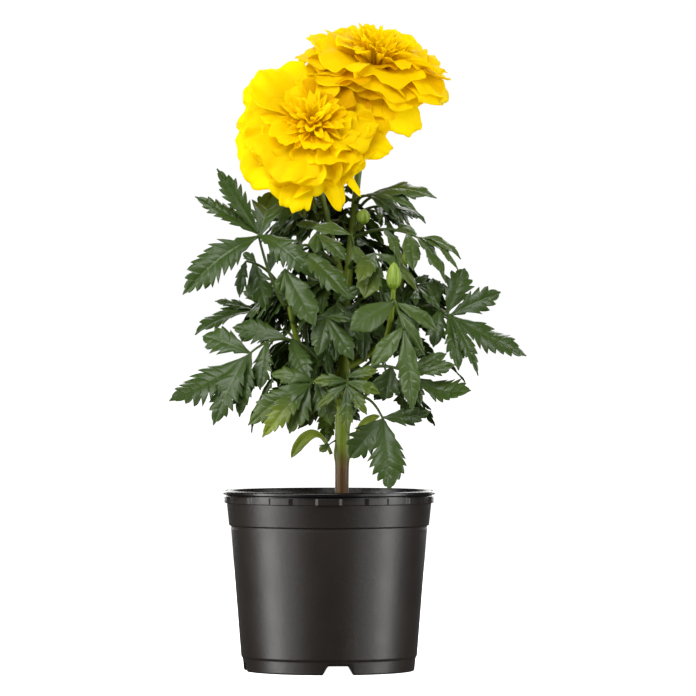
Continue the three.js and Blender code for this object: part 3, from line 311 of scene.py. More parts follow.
# Pairs such as (0.1, 0.36) are ranges that a leaflet's own value is drawn from.
LEAFLET = {
    "thickness": 0.28, "midrib": 0.5, "forward": 0.6, "tooth_pitch": 7.0, "broader": 1.14,
    "uneven": (0.45, 1.5), "twist": (-16, 16), "fold": (0.1, 0.36), "wave": 0.034, "puff": 0.24,
    "groove": 0.3,
}
# Half the width of a leaflet along its length, as [share of its length, share of half its width].
LEAFLET_HALVES = [
    [0, 0.1], [0.06, 0.17], [0.12, 0.34], [0.25, 0.76], [0.4, 1.0], [0.55, 1.03], [0.68, 0.9],
    [0.8, 0.6], [0.9, 0.3], [0.96, 0.12], [1, 0.01],
]
# The steps of one saw tooth, as [share of the tooth, share of that width], the part of a leaflet
# that has teeth, and the plain rows before and after it.
TOOTH = [[0, 0.72], [0.22, 0.84], [0.5, 0.96], [0.78, 1.05], [0.94, 1.1]]
TOOTHED = (0.24, 0.93)
BELOW_TEETH = [[0, 1], [0.03, 1], [0.07, 1], [0.12, 1], [0.18, 0.97]]
PAST_TEETH = [[0.94, 0.8], [0.965, 0.9], [0.985, 0.9], [1, 1]]
RACHIS_RADII = [[0, 1.35], [0.08, 1.0], [0.6, 0.85], [1, 0.6]]
SPOON_HALVES = [
    [0, 0.14], [0.3, 0.16], [0.55, 0.42], [0.72, 0.5], [0.88, 0.42], [0.96, 0.24], [1, 0.03],
]
# Where the mesh of a leaflet has its columns, as shares of the half width, and the rows near its
# ends that a plain one leaves out.
FINE_COLUMNS = [-1, -0.82, -0.6, -0.35, -0.12, 0, 0.12, 0.35, 0.6, 0.82, 1]
PLAIN_COLUMNS = [-1, -0.6, -0.12, 0, 0.12, 0.6, 1]
PLAIN_SKIPS = [0.03, 0.965]
# How deep a leaf's teeth are, how pale and grey its upper side is tinted, a painted sheen, and how
# young and yellow its leaflets' ends are. The leaves that aren't here take 1, 0 and 0.
LEAF_LOOKS = {
    "front_right": [0.35, 0.75, 0], "left_front": [0.5, 0.45, 0], "upper_left": [1.1, 0, 0],
    "left_long": [0.8, 0.3, 0], "lower_left": [1.1, 0.1, 0], "lower_front": [1, 0, 0.1],
    "lower_right": [1, 0.1, 0], "right_lower": [1, 0.3, 0], "right_middle": [1, 0.05, 0],
    "right_upper": [0.4, 0.8, 0], "top_right": [0.5, 0.45, 0], "front_upper": [0.8, 0.2, 0],
    "front_pale": [0.7, 1, 0], "front_middle": [0.9, 0.3, 0], "front_low": [1, 0, 0.2],
    "right_inner": [0.6, 0.4, 0.2], "sprig": [1, 0, 0.3],
}
# Leaflets, as (leaf, leaflet), that differ: one that is younger than the rest of its leaf, those
# with another arch than their solids, and those that are wider or narrower, by that factor.
YOUNG_TIPS = {("lower_front", 0): 0.55}
OTHER_ARCH = {
    ("upper_left", 2): 0.13, ("lower_left", 0): -0.06, ("lower_right", 2): -0.16,
    ("right_lower", 0): -0.2, ("right_middle", 0): -0.02,
}
WIDER = {
    ("front_right", 0): 0.84, ("front_right", 1): 0.86, ("front_right", 3): 0.84,
    ("upper_left", 0): 0.78, ("upper_left", 1): 0.82, ("upper_left", 2): 1.08,
    ("upper_left", 3): 1.2, ("right_lower", 0): 1.25, ("right_middle", 0): 0.8,
    ("top_right", 0): 1.12, ("left_small", 0): 0.7,
}

# The small leaves that fill the inside of the plant, round its middle, with their tips kept within
# the front, rear, low and high. Below are the limbs that they may grow from, with the part of each,
# their leaflets as (place on the rachis, angle, share of their length), and how far to the left and
# right the tips may reach at each height, as [height, left, right].
THICKET = {
    "count": 90, "middle": -3, "front": -20, "rear": 44, "low": 148, "high": 272,
    "out": (9, 26), "reach": (17, 26), "width": 0.34,
}
THICKET_LIMBS = [
    ("front_stalk", 0.0, 0.5), ("back_stalk", 0.0, 0.42), ("trunk", 0.6, 1.0),
    ("front_stalk", 0.3, 0.6), ("back_stalk", 0.25, 0.45), ("left_branch", 0.8, 1.0),
    ("trunk", 0.75, 1.0), ("left_branch", 0.5, 1.0), ("right_branch", 0.55, 0.95),
    ("right_rear_branch", 0.35, 0.95), ("left_rear_branch", 0.35, 1.0), ("rear_branch", 0.35, 1.0),
]
THICKET_LEAFLETS = [(1, 0, 1), (0.93, 40, 0.85), (0.9, -42, 0.85), (0.7, 66, 0.7), (0.66, -68, 0.7)]
THICKET_EDGES = [
    [146, -46, 34], [150, -50, 38], [165, -60, 42], [180, -62, 44], [195, -62, 60],
    [210, -56, 62], [225, -50, 60], [240, -56, 54], [255, -58, 44], [264, -56, 40], [272, -50, 34],
]

FRAME_MM = 394  # the width of the photograph at the stem
CAMERA_DISTANCE = 3000
CAMERA_HEIGHT = 182.5
SENSOR = 36
# How bright the world is to look at, as light, and where it is mirrored.
WORLD = {"seen": 1.0, "light": 0.22, "mirrored": 0.06}
# Each soft light's name, place, the height that it points at, its size and its power, in metres
# and watts.
LIGHTS = [
    ["side_left", (-1.22, -0.33, 0.15), 0.15, (0.45, 1.4), 15],
    ["side_right", (1.21, -0.36, 0.15), 0.15, (0.5, 1.4), 13],
    ["front_left", (-0.98, -0.8, 0.2), 0.15, (0.6, 1.4), 5],
    ["front_right", (0.95, -0.9, 0.2), 0.15, (0.6, 1.4), 4],
    ["front_top", (-0.3, -0.9, 1.05), 0.3, (0.9, 0.7), 15.5],
    ["back_top", (0.2, 0.8, 1.1), 0.3, (0.9, 0.6), 10],
    ["back_left", (-0.45, 1.3, 0.5), 0.2, (0.7, 0.9), 7],
    ["back_right", (0.45, 1.3, 0.5), 0.2, (0.7, 0.9), 7],
]

SEEDS = {"soil": 3, "leaves": 100, "blooms": 7, "thicket": 12}
# What a piece says at each of its points, for its material to read.
VALUES = ("across", "along", "vein", "under", "shade", "young", "pale")
MM = 0.001


# ---------------------------------------------------------------- small tools


def vec(point):
    return np.array(point, float)


def unit(v):
    return v / np.maximum(np.linalg.norm(v, axis=-1, keepdims=True), 1e-9)


def bend(path, share):
    """Points and directions of a quadratic bend at one or more shares of it."""
    first, middle, last = (vec(p) for p in path)
    t = np.asarray(share, float)[..., None]
    point = (1 - t) ** 2 * first + 2 * (1 - t) * t * middle + t**2 * last
    return point, unit(2 * (1 - t) * (middle - first) + 2 * t * (last - middle))


def smooth(low, high, x):
    """A soft step from 0 at low to 1 at high."""
    t = np.clip((x - low) / (high - low), 0, 1)
    return t * t * (3 - 2 * t)


def turned_about(v, axis, angle):
    """A vector turned about a unit axis by an angle in degrees."""
    c, s = math.cos(math.radians(angle)), math.sin(math.radians(angle))
    return v * c + np.cross(axis, v) * s + axis * np.dot(axis, v) * (1 - c)


def rolled(across, up, angle):
    """Two directions at a right angle, both turned in their plane by an angle in radians."""
    c, s = np.cos(angle), np.sin(angle)
    return across * c + up * s, up * c - across * s


def seeded(seed):
    """Numbers from 0 to 1 that are the same on every run, as the solids' rule draws them."""
    size = 2147483647
    state = seed
    while True:
        state = (state * 16807) % size
        yield state / size


# ---------------------------------------------------------------- meshes


class Piece:
    """The points, faces and values at each point of one piece, gathered in millimetres."""

    def __init__(self):
        self.points, self.faces, self.values = [], [], []
        self.size = 0

    def add(self, points, faces, **values):
        shape = points.shape[:-1]
        columns = [np.broadcast_to(values.get(name, 0.0), shape).reshape(-1) for name in VALUES]
        self.points.append(points.reshape(-1, 3))
        self.values.append(np.stack(columns, -1))
        self.faces += [[i + self.size for i in face] for face in faces]
        self.size += len(self.points[-1])

    def make(self, name, material, slot, *nodes):
        """The piece as an object that rides on the part and replaces those solids."""
        mesh = bpy.data.meshes.new(name)
        mesh.from_pydata((np.concatenate(self.points) * MM).tolist(), [], self.faces)
        values = np.concatenate(self.values)
        for column, value_name in enumerate(VALUES):
            layer = mesh.attributes.new(value_name, "FLOAT", "POINT")
            layer.data.foreach_set("value", values[:, column].astype(np.float32))
        corners = np.zeros(len(mesh.loops), np.int32)
        mesh.loops.foreach_get("vertex_index", corners)
        uv = mesh.uv_layers.new(name="UVMap")
        uv.data.foreach_set("uv", values[corners][:, :2].reshape(-1).astype(np.float32))
        mesh.polygons.foreach_set("use_smooth", [True] * len(mesh.polygons))
        mesh.materials.append(material)
        mesh.update()
        obj = bpy.data.objects.new(name, mesh)
        bpy.context.scene.collection.objects.link(obj)
        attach(obj, "root")
        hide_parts(*nodes)
        return obj


def grid_faces(rows, columns, round_trip=False):
    """The faces of a grid of points, whose columns may close into rings."""
    row = np.arange(rows - 1)[:, None] * columns
    column = np.arange(columns if round_trip else columns - 1)[None, :]
    a = row + column
    b = row + (column + 1) % columns
    return np.stack([a, b, b + columns, a + columns], -1).reshape(-1, 4).tolist()


def body_faces(points):
    """The faces of a closed body made of rings of points, with a cap at each end."""
    rows, sides = points.shape[:2]
    first, last = list(range(sides)), list(range((rows - 1) * sides, rows * sides))
    return grid_faces(rows, sides, True) + [first[::-1], last]


def grid_rim(rows, columns):
    """The points round a grid's edge, in order."""
    near = list(range(columns))
    right = [r * columns + columns - 1 for r in range(1, rows)]
    far = [(rows - 1) * columns + c for c in range(columns - 2, -1, -1)]
    left = [r * columns for r in range(rows - 2, 0, -1)]
    return near + right + far + left


def add_sheet(piece, top, thickness, **values):
    """A thin closed body from the grid of points on its upper side."""
    rows, columns = top.shape[:2]
    normal = unit(np.cross(np.gradient(top, axis=1), np.gradient(top, axis=0)))
    bottom = top - normal * np.broadcast_to(thickness, (rows, columns))[..., None]
    count = rows * columns
    faces = grid_faces(rows, columns)
    rim = grid_rim(rows, columns)
    walls = [[j, i, i + count, j + count] for i, j in zip(rim, rim[1:] + rim[:1])]
    under = [[i + count for i in reversed(face)] for face in faces]
    both = {key: np.stack([np.broadcast_to(v, (rows, columns))] * 2) for key, v in values.items()}
    both["under"] = np.stack([np.zeros((rows, columns)), np.ones((rows, columns))])
    piece.add(np.stack([top, bottom]), faces + walls + under, **both)


def add_tube(piece, centres, radii, sides, ribs=0, rib_depth=0.0, **values):
    """A closed tube along points, with a radius at each and lengthwise ribs."""
    along = unit(np.gradient(centres, axis=0))
    side = unit(np.cross(along[0], vec([0.3, 1, 0.2])))
    sides_at = []
    for direction in along:
        side = unit(side - direction * np.dot(side, direction))
        sides_at.append(side)
    across = np.array(sides_at)[:, None, :]
    up = np.cross(along[:, None, :], across)
    turn = round_turns(sides)[..., None]
    swell = 1 + rib_depth * np.cos(ribs * turn)
    reach = np.asarray(radii, float)[:, None, None] * swell
    ring = centres[:, None, :] + reach * (across * np.cos(turn) + up * np.sin(turn))
    share = np.linspace(0, 1, len(centres))[:, None]
    values = {"along": share, "across": np.linspace(0, 1, sides)[None, :], **values}
    piece.add(ring, body_faces(ring), **values)


def round_turns(sides):
    """Turns once round, in radians, in one row."""
    return np.linspace(0, 2 * math.pi, sides, endpoint=False)[None, :]


def turned_grid(profile, turns, reach=1):
    """Points of a round body about +Z: a profile of [radius, height], and turns in radians."""
    profile = vec(profile)
    radius = profile[:, None, 0] * reach * np.ones_like(turns)
    height = np.broadcast_to(profile[:, None, 1], radius.shape)
    return np.stack([radius * np.cos(turns), radius * np.sin(turns), height], -1)


def rounded(profile, radius, steps=4):
    """A profile with each corner rounded off by a few short edges."""
    points = vec(profile)
    result = [points[0]]
    for before, corner, after in zip(points, points[1:], points[2:]):
        short = min(np.linalg.norm(before - corner), np.linalg.norm(after - corner))
        cut = min(radius, 0.45 * short)
        start = corner + unit(before - corner) * cut
        end = corner + unit(after - corner) * cut
        for t in np.linspace(0, 1, steps):
            result.append((1 - t) ** 2 * start + 2 * (1 - t) * t * corner + t**2 * end)
    return np.array(result + [points[-1]])


# ---------------------------------------------------------------- materials


def colour(code):
    """A colour as nodes take it, from its red, green and blue of 0 to 255 on a screen."""
    shares = [channel / 255 for channel in code]
    return [c / 12.92 if c <= 0.04045 else ((c + 0.055) / 1.055) ** 2.4 for c in shares] + [1.0]


class Graph:
    """A material's nodes, with short forms for the ones used here."""

    def __init__(self, name):
        self.material = bpy.data.materials.new(name)
        self.material.use_nodes = True
        self.tree = self.material.node_tree
        self.tree.nodes.clear()
        self.place = self.node("TexCoord").outputs["Object"]

    def node(self, kind, inputs=(), **settings):
        node = self.tree.nodes.new("ShaderNode" + kind)
        for key, value in settings.items():
            setattr(node, key, value)
        for key, value in dict(inputs).items():
            if isinstance(value, bpy.types.NodeSocket):
                self.tree.links.new(value, node.inputs[key])
            else:
                node.inputs[key].default_value = value
        return node

    def value(self, name):
        return self.node("Attribute", attribute_name=name).outputs["Fac"]

    def math(self, operation, a, b, clamp=False):
        return self.node("Math", {0: a, 1: b}, operation=operation, use_clamp=clamp).outputs[0]

    def times(self, a, b, clamp=False):
        return self.math("MULTIPLY", a, b, clamp)

    def plus(self, a, b):
        return self.math("ADD", a, b)

    def blend(self, a, b, share):
        """Two numbers mixed, with that share of the first."""
        return self.plus(self.times(a, share), self.times(b, 1 - share))

    def mix(self, share, a, b):
        """Two colours mixed, each from a node or given as a code of 0 to 255."""
        a, b = (colour(c) if isinstance(c, tuple) else c for c in (a, b))
        return self.node("Mix", {0: share, 6: a, 7: b}, data_type="RGBA").outputs[2]

    def tinted(self, base, code, share, strength=1.0, clamp=False):
        """A colour with another over it, as far as a share, or the value of that name, goes."""
        share = self.value(share) if isinstance(share, str) else share
        return self.mix(self.times(share, strength, clamp), base, code)

    def noise(self, scale, detail=3.0, stretch=(1.0, 1.0, 1.0), roughness=0.5, place=None):
        place = self.node("Mapping", {"Vector": place or self.place, "Scale": stretch}).outputs[0]
        inputs = {"Vector": place, "Scale": scale, "Detail": detail, "Roughness": roughness}
        return self.node("TexNoise", inputs).outputs["Fac"]

    def along_blade(self, scale, stretch, detail=3.0):
        """Noise in the blade's own lengths and widths, for fine lines along it."""
        values = {i: self.value(name) for i, name in enumerate(("across", "along", "shade"))}
        place = self.node("CombineXYZ", values).outputs[0]
        return self.noise(scale, detail, stretch, place=place)

    def ramp(self, share, low, high):
        """A share stretched so that low gives 0 and high gives 1."""
        return self.node("MapRange", {0: share, 1: low, 2: high}, clamp=True).outputs[0]

    def bump(self, height, strength, distance):
        inputs = {"Strength": strength, "Distance": distance, "Height": height}
        return self.node("Bump", inputs).outputs[0]

    def finish(self, base, roughness, normal, specular, glow=None, glow_share=0.0):
        """The whole material. Light also shines through it, in the colour `glow`, by its share."""
        inputs = {"Base Color": base, "Roughness": roughness, "Specular IOR Level": specular}
        surface = self.node("BsdfPrincipled", {**inputs, "Normal": normal}).outputs[0]
        if glow is not None:
            behind = self.node("BsdfTranslucent", {"Color": glow, "Normal": normal}).outputs[0]
            surface = self.node("MixShader", {0: glow_share, 1: surface, 2: behind}).outputs[0]
        self.node("OutputMaterial", {"Surface": surface})
        return self.material


def leaf_material():
    g = Graph("leaf_green")
    mottle = g.noise(120, 4)
    base = g.mix(g.blend(g.value("shade"), mottle, 0.75), (5, 16, 0), (54, 74, 6))
    # The pale grey tint is a painted sheen.
    base = g.tinted(base, (104, 122, 60), "pale", 0.8, True)
    base = g.tinted(base, (84, 105, 36), "vein", 0.8, True)
    base = g.tinted(base, (56, 78, 28), "under", 0.7)
    base = g.tinted(base, (140, 155, 40), "young")
    height = g.blend(g.along_blade(9, (1.0, 3.0, 1.0), 4), g.noise(1500, 2), 0.6)
    roughness = g.plus(g.times(mottle, 0.3), 0.22)
    glow = g.mix(0.5, base, (84, 124, 6))
    normal = g.bump(height, 0.35, 0.0004)
    return g.finish(base, roughness, normal, specular=0.38, glow=glow, glow_share=0.12)


def petal_material():
    g = Graph("petal_yellow")
    lines = g.along_blade(3.2, (9.0, 0.7, 3.0))
    tip = g.mix(g.value("shade"), (252, 233, 0), (251, 219, 0))
    # Above a shade of 0.8 a petal turns deep gold, a painted shade where the other head shades it.
    tip = g.tinted(tip, (206, 150, 0), g.ramp(g.value("shade"), 0.8, 1), 0.6)
    base = g.mix(g.ramp(g.value("along"), 0.0, 0.4), (254, 205, 0), tip)
    base = g.tinted(base, (255, 220, 0), g.ramp(lines, 0.45, 0.7), 0.16)
    base = g.tinted(base, (252, 218, 0), "under", 0.2)
    normal = g.bump(g.blend(lines, g.noise(900, 2), 0.7), 0.2, 0.0004)
    glow = g.mix(0.5, base, (255, 246, 0))
    return g.finish(base, 0.62, normal, specular=0.08, glow=glow, glow_share=0.6)


def stem_material():
    """Brown at its foot and green above, with purple streaks, by the height in metres."""
    g = Graph("stem_skin")
    streak = g.noise(300, 4, (1.0, 1.0, 0.12))
    height = g.node("SeparateXYZ", {0: g.place}).outputs[2]
    height = g.plus(height, g.times(g.noise(220, 2), 0.006))
    green = g.mix(streak, (80, 98, 0), (116, 132, 12))
    upper = g.mix(streak, (62, 84, 26), (98, 118, 46))
    green = g.mix(g.ramp(height, 0.2, 0.26), green, upper)
    brown = g.mix(streak, (54, 32, 12), (108, 80, 36))
    base = g.mix(g.ramp(height, 0.117, 0.131), brown, green)
    base = g.tinted(base, (96, 56, 44), g.ramp(streak, 0.62, 0.75), 0.35)
    return g.finish(base, 0.42, g.bump(streak, 0.5, 0.0005), specular=0.3)


def green_material(name, low, high, lines):
    """A smooth young green with pale lines along it, for cups, buds and seed leaves."""
    g = Graph(name)
    streak = g.along_blade(2.4, lines)
    base = g.mix(g.ramp(streak, 0.35, 0.68), low, high)
    base = g.tinted(base, high, "vein", 0.7, True)
    base = g.tinted(base, low, g.noise(260), 0.35)
    glow = g.mix(0.5, base, (160, 190, 50))
    normal = g.bump(streak, 0.25, 0.0004)
    return g.finish(base, 0.42, normal, specular=0.5, glow=glow, glow_share=0.12)


def soil_material():
    g = Graph("potting_mix")
    coarse = g.noise(180, 6, roughness=0.7)
    base = g.mix(g.ramp(coarse, 0.3, 0.7), (34, 24, 17), (84, 60, 42))
    base = g.tinted(base, (124, 96, 68), g.ramp(g.noise(420, 2), 0.62, 0.72))
    base = g.tinted(base, (112, 80, 52), "shade")
    height = g.plus(coarse, g.times(g.noise(900, 4, roughness=0.7), 0.5))
    return g.finish(base, 0.92, g.bump(height, 0.9, 0.0012), specular=0.2)


def pot_material():
    """Black plastic with scuffs and small dimples, with painted shade: blacker and glossier near
    its lip.
    """
    g = Graph("pot_plastic")
    base = g.mix(g.noise(26, 4), (22, 17, 14), (36, 30, 26))
    scuff = g.ramp(g.noise(70, 6, (1.0, 1.0, 0.35), 0.65), 0.6, 0.8)
    base = g.tinted(base, (62, 56, 51), scuff, 0.2)
    # Painted shade: blacker towards and over the lip, by the `shade` value.
    base = g.tinted(base, (4, 3, 3), "shade", 0.8)
    roughness = g.plus(g.times(g.noise(60, 5), 0.14), 0.31)
    roughness = g.plus(roughness, g.times(g.value("shade"), -0.12))
    height = g.blend(g.noise(1400), g.noise(230, 2, (1.0, 1.0, 1.7)), 0.4)
    return g.finish(base, roughness, g.bump(height, 0.25, 0.0005), specular=0.48)


PETAL = petal_material()
LEAF = leaf_material()
STEM = stem_material()
CUP = green_material("cup_green", (70, 92, 38), (126, 146, 66), (10.0, 0.8, 1.0))
BUD = green_material("bud_green", (100, 128, 24), (150, 172, 58), (8.0, 0.8, 1.0))
SEED_LEAF = green_material("seed_leaf_green", (92, 112, 14), (136, 150, 36), (5.0, 1.2, 1.0))
SOIL_MIX = soil_material()
PLASTIC = pot_material()


# ---------------------------------------------------------------- pot and potting mix


def pot_profile():
    """Up the pot's outside, over its lip and down its inside, as [radius, height]."""
    p = POT
    lip_foot = p["height"] - p["lip_height"]
    collar_foot = lip_foot - p["collar_height"]
    band_foot = collar_foot - p["band_height"]
    body_top = band_foot - p["step_height"]
    wall, floor = p["wall"], p["floor"]
    return [
        [0.01, floor], [p["foot_top"] - 2.2 * wall, floor], [p["foot"] - 1.8 * wall, 0],
        [p["foot"] - 0.5, 0], [p["foot"], 0.7], [p["foot_top"], p["foot_height"]],
        [p["body_bottom"], p["foot_height"] + p["foot_groove"]], [p["body_top"], body_top],
        [p["body_top"] - 0.1, band_foot - 0.5],
        [p["band_bottom"], band_foot], [p["band_top"], collar_foot],
        [p["collar_radius"], collar_foot + 0.3], [p["collar_radius"], lip_foot - 0.9],
        [p["collar_radius"], lip_foot - 0.6], [p["collar_radius"], lip_foot],
        [p["lip_radius"], lip_foot + 0.5], [p["lip_radius"], p["height"] - 0.6],
        [p["lip_radius"] - 0.8, p["height"]], [p["band_top"] - 0.2, p["height"]],
        [p["band_top"] - wall, lip_foot - 1], [p["body_top"] - wall, body_top],
        [p["body_bottom"] - wall, floor + 2 * wall],
        [p["body_bottom"] - 2 * wall, floor + wall], [0.01, floor + wall],
    ]


def make_pot():
    turns = round_turns(POT_SIDES)
    points = turned_grid(rounded(pot_profile(), 0.3), turns)
    radius = np.hypot(points[..., 0], points[..., 1])
    height = points[..., 2]

    # Lugs stand out of the collar, round it from the front.
    lip_foot = POT["height"] - POT["lip_height"]
    step = 360 / LUGS["count"]
    from_front = (np.degrees(turns) - LUGS["first_turn"]) % step
    edge = step * LUGS["share"]
    slope = LUGS["slope"]
    lug = smooth(0, slope, from_front) * (1 - smooth(edge - slope, edge, from_front))
    on_collar = abs(radius - POT["collar_radius"]) < 0.12
    on_collar &= height < lip_foot - LUGS["below_lip"]
    swell = np.where(on_collar, 1 + lug * (POT["lug_radius"] / POT["collar_radius"] - 1), 1)
    points[..., :2] *= swell[..., None]

    # Notches are cut up into the foot ring.
    quarter = 360 / NOTCH["count"]
    away = (np.degrees(turns) - NOTCH["first_turn"] + quarter / 2) % quarter - quarter / 2
    aside = abs(np.radians(away)) * POT["foot"]
    slope = NOTCH["height"] / ((NOTCH["bottom"] - NOTCH["top"]) / 2)
    roof = np.clip((NOTCH["bottom"] / 2 - aside) * slope, 0, NOTCH["height"])
    points[..., 2] = np.where(radius > NOTCH["radius"], np.maximum(height, roof), height)

    points[..., 0] += POT_AXIS_X
    # Painted shade, darker from the band's top up to the lip and darkest over the lip and inner
    # rim.
    dim = 0.4 * smooth(lip_foot - 7, lip_foot - 1, height)
    dim = dim + 0.6 * smooth(lip_foot - 1, lip_foot, height)
    piece = Piece()
    piece.add(points, body_faces(points), shade=dim)
    pot = piece.make("nursery_pot", PLASTIC, "pot_plastic", "pot")

    drills = Piece()
    for k in range(DRAIN["count"]):
        turn = math.radians(DRAIN["first_turn"] + 360 * k / DRAIN["count"])
        x = POT_AXIS_X + DRAIN["circle"] * math.cos(turn)
        y = DRAIN["circle"] * math.sin(turn)
        add_tube(drills, vec([[x, y, 0], [x, y, 6], [x, y, 12]]), [DRAIN["radius"]] * 3, sides=20)
    drill = drills.make("drain_drill", PLASTIC, "pot_plastic")
    cut = pot.modifiers.new("drain_holes", "BOOLEAN")
    cut.object, cut.operation, cut.solver = drill, "DIFFERENCE", "EXACT"
    depsgraph = bpy.context.evaluated_depsgraph_get()
    mesh = bpy.data.meshes.new_from_object(pot.evaluated_get(depsgraph))
    pot.modifiers.clear()
    pot.data = mesh
    bpy.data.objects.remove(drill)


def make_soil(rng):
    """The potting mix: a crumbly top that rises and falls, with bits of bark and fibre on it."""
    lip_foot = POT["height"] - POT["lip_height"]
    body_top = lip_foot - POT["collar_height"] - POT["band_height"] - POT["step_height"]
    inset = POT["wall"] + SOIL["gap"]
    floor = POT["floor"] + 2 * POT["wall"] + SOIL["gap"]
    edge = POT["band_bottom"] - inset + 0.2
    side = [[0.01, floor], [POT["body_bottom"] - inset - POT["wall"], floor],
            [POT["body_top"] - inset - 0.4, body_top - 0.6]]
    top = [[edge * share, SOIL["top"]] for share in np.linspace(1, 0.005, 60)]
    points = turned_grid(side + top, round_turns(SOIL["sides"]))
    x, y = points[..., 0], points[..., 1]
    crumb = np.sin(x * 0.41 + 2) * np.cos(y * 0.37 + 1) + 0.5 * np.sin((x + y) * 0.83)
    lumps = sum(
        np.sin(x * f * math.cos(a) + y * f * math.sin(a) + p) * g
        for (f, g), a, p in zip(LUMPS, rng.uniform(0, 3.14, 6), rng.uniform(0, 6.28, 6))
    )
    on_top = np.arange(points.shape[0])[:, None] > len(side)
    points[..., 2] += np.where(on_top, crumb + 0.55 * lumps, 0)
    points[..., 0] += POT_AXIS_X
    piece = Piece()
    piece.add(points, body_faces(points))
    for _ in range(SOIL["bits"]):
        turn = rng.uniform(0, 2 * math.pi)
        away = (edge - SOIL["margin"]) * math.sqrt(rng.uniform(0.01, 1))
        x, y = POT_AXIS_X + away * math.cos(turn), away * math.sin(turn)
        centre = vec([x, y, SOIL["top"] + 0.6])
        if np.linalg.norm(centre[:2] - vec(LIMBS["trunk"]["path"][0][:2])) < SOIL["clear"]:
            continue
        lean = unit(rng.normal(size=3) * vec([1, 1, 0.35]))
        length, thick = rng.uniform(1.2, 4.2), rng.uniform(0.35, 1.1)
        path = centre + lean * length * np.linspace(-0.5, 0.5, 4)[:, None]
        path += rng.normal(size=(4, 3)) * 0.15
        radii = thick * vec([0.5, 1, 0.9, 0.4])
        add_tube(piece, path, radii, sides=5, shade=rng.uniform(0, 0.8))
    piece.make("crumbly_mix", SOIL_MIX, "potting_mix", "potting_mix")


# ---------------------------------------------------------------- stem, cups and buds


def on_head(head, distance):
    """The point on a head's axis at that distance from its foot."""
    return vec(head["foot"]) + unit(vec(head["axis"])) * distance


def head_base(head):
    """Where a head's petals stand, on the rim of its cup."""
    return on_head(head, CUP_PROFILE[-1][1] + SEAT_GAP)


def limb_path(name):
    """The three points of a limb's bend."""
    limb = LIMBS[name]
    if "path" in limb:
        return limb["path"]
    head = HEADS[limb["head"]]
    return [limb["from"], on_head(head, -limb["bend"]), on_head(head, -SEAT_GAP)]


def limb_radius(name, share):
    radii = LIMBS[name]["radii"]
    return np.interp(share, np.linspace(0, 1, len(radii)), radii)


def make_stem():
    piece = Piece()
    for name, limb in LIMBS.items():
        share = np.linspace(0, 1, 70 if name == "trunk" else 44)
        centres, _ = bend(limb_path(name), share)
        height = centres[:, 2]
        radii = limb_radius(name, share)
        if name == "trunk":
            near = np.clip(1 - abs(height - STEM_JOINT["z"]) / STEM_JOINT["reach"], 0, 1)
            radii = radii + smooth(0, 1, near) * STEM_JOINT["extra"]
            for extra, start, end in TRUNK_SWELLS:
                radii = radii + extra * smooth(start, end, height)
        else:
            radii = radii * (1 + 0.35 * np.exp(-share * 16))  # flares where it leaves its parent
        if "head" in limb:
            radii = radii * (1 + 0.16 * smooth(0.8, 1, share))  # swells under its head
        add_tube(piece, centres, radii, sides=24, ribs=7, rib_depth=0.045)
    piece.make("ribbed_stem", STEM, "stem", "stem")


def on_axis(points, foot, axis):
    """Points that stand on the origin along +Z, carried to a foot with +Z along an axis."""
    along = unit(vec(axis))
    start = vec([0, 0, 1])
    cross = np.cross(start, along)
    sine, cosine = np.linalg.norm(cross), float(np.dot(start, along))
    if sine < 1e-9:
        return points + vec(foot)
    k = cross / sine
    turned = points * cosine + np.cross(k, points) * sine
    turned += k * np.sum(points * k, -1, keepdims=True) * (1 - cosine)
    return turned + vec(foot)


def add_ribbed_body(piece, profile, foot, axis, ribs, depth, teeth=0.0):
    """A round green body with ribs up it and, on a cup, pointed teeth round its rim."""
    turns = round_turns(ribs * 12)
    outline = rounded(profile, 1.2)
    fine = [np.linspace(a, b, 5)[:-1] for a, b in zip(outline, outline[1:])]
    outline = np.concatenate(fine + [outline[-1:]])
    share = np.linspace(0, 1, len(outline))[:, None]
    rib = abs(np.cos(ribs * turns / 2)) ** 0.6
    reach = 1 + depth * (rib - 0.6) * smooth(0, 0.15, share)
    points = turned_grid(outline, turns, reach)
    points[..., 2] += teeth * smooth(0.75, 1, share) * (rib - 0.35)
    points[..., :2] *= (1 + 0.08 * smooth(0.9, 1, share) * (teeth > 0))[..., None]
    piece.add(on_axis(points, foot, axis), body_faces(points),
              across=turns / (2 * math.pi), along=share, vein=(rib > 0.93) * 0.8)


def make_cups_and_buds():
    for side, head in HEADS.items():
        piece = Piece()
        add_ribbed_body(piece, CUP_PROFILE, head["foot"], head["axis"], 9, 0.1, teeth=3.2)
        piece.make(f"ribbed_cup_{side}", CUP, "cup_green", f"cup_{side}")
    for name, limb, width, height in BUDS:
        end, axis = bend(limb_path(limb), 1.0)
        profile = [[r * width, z * height] for r, z in BUD_PROFILE]
        piece = Piece()
        add_ribbed_body(piece, profile, end, axis, 7, 0.14)
        piece.make(f"ribbed_{name}", BUD, "bud_green", name)


# ---------------------------------------------------------------- leaves


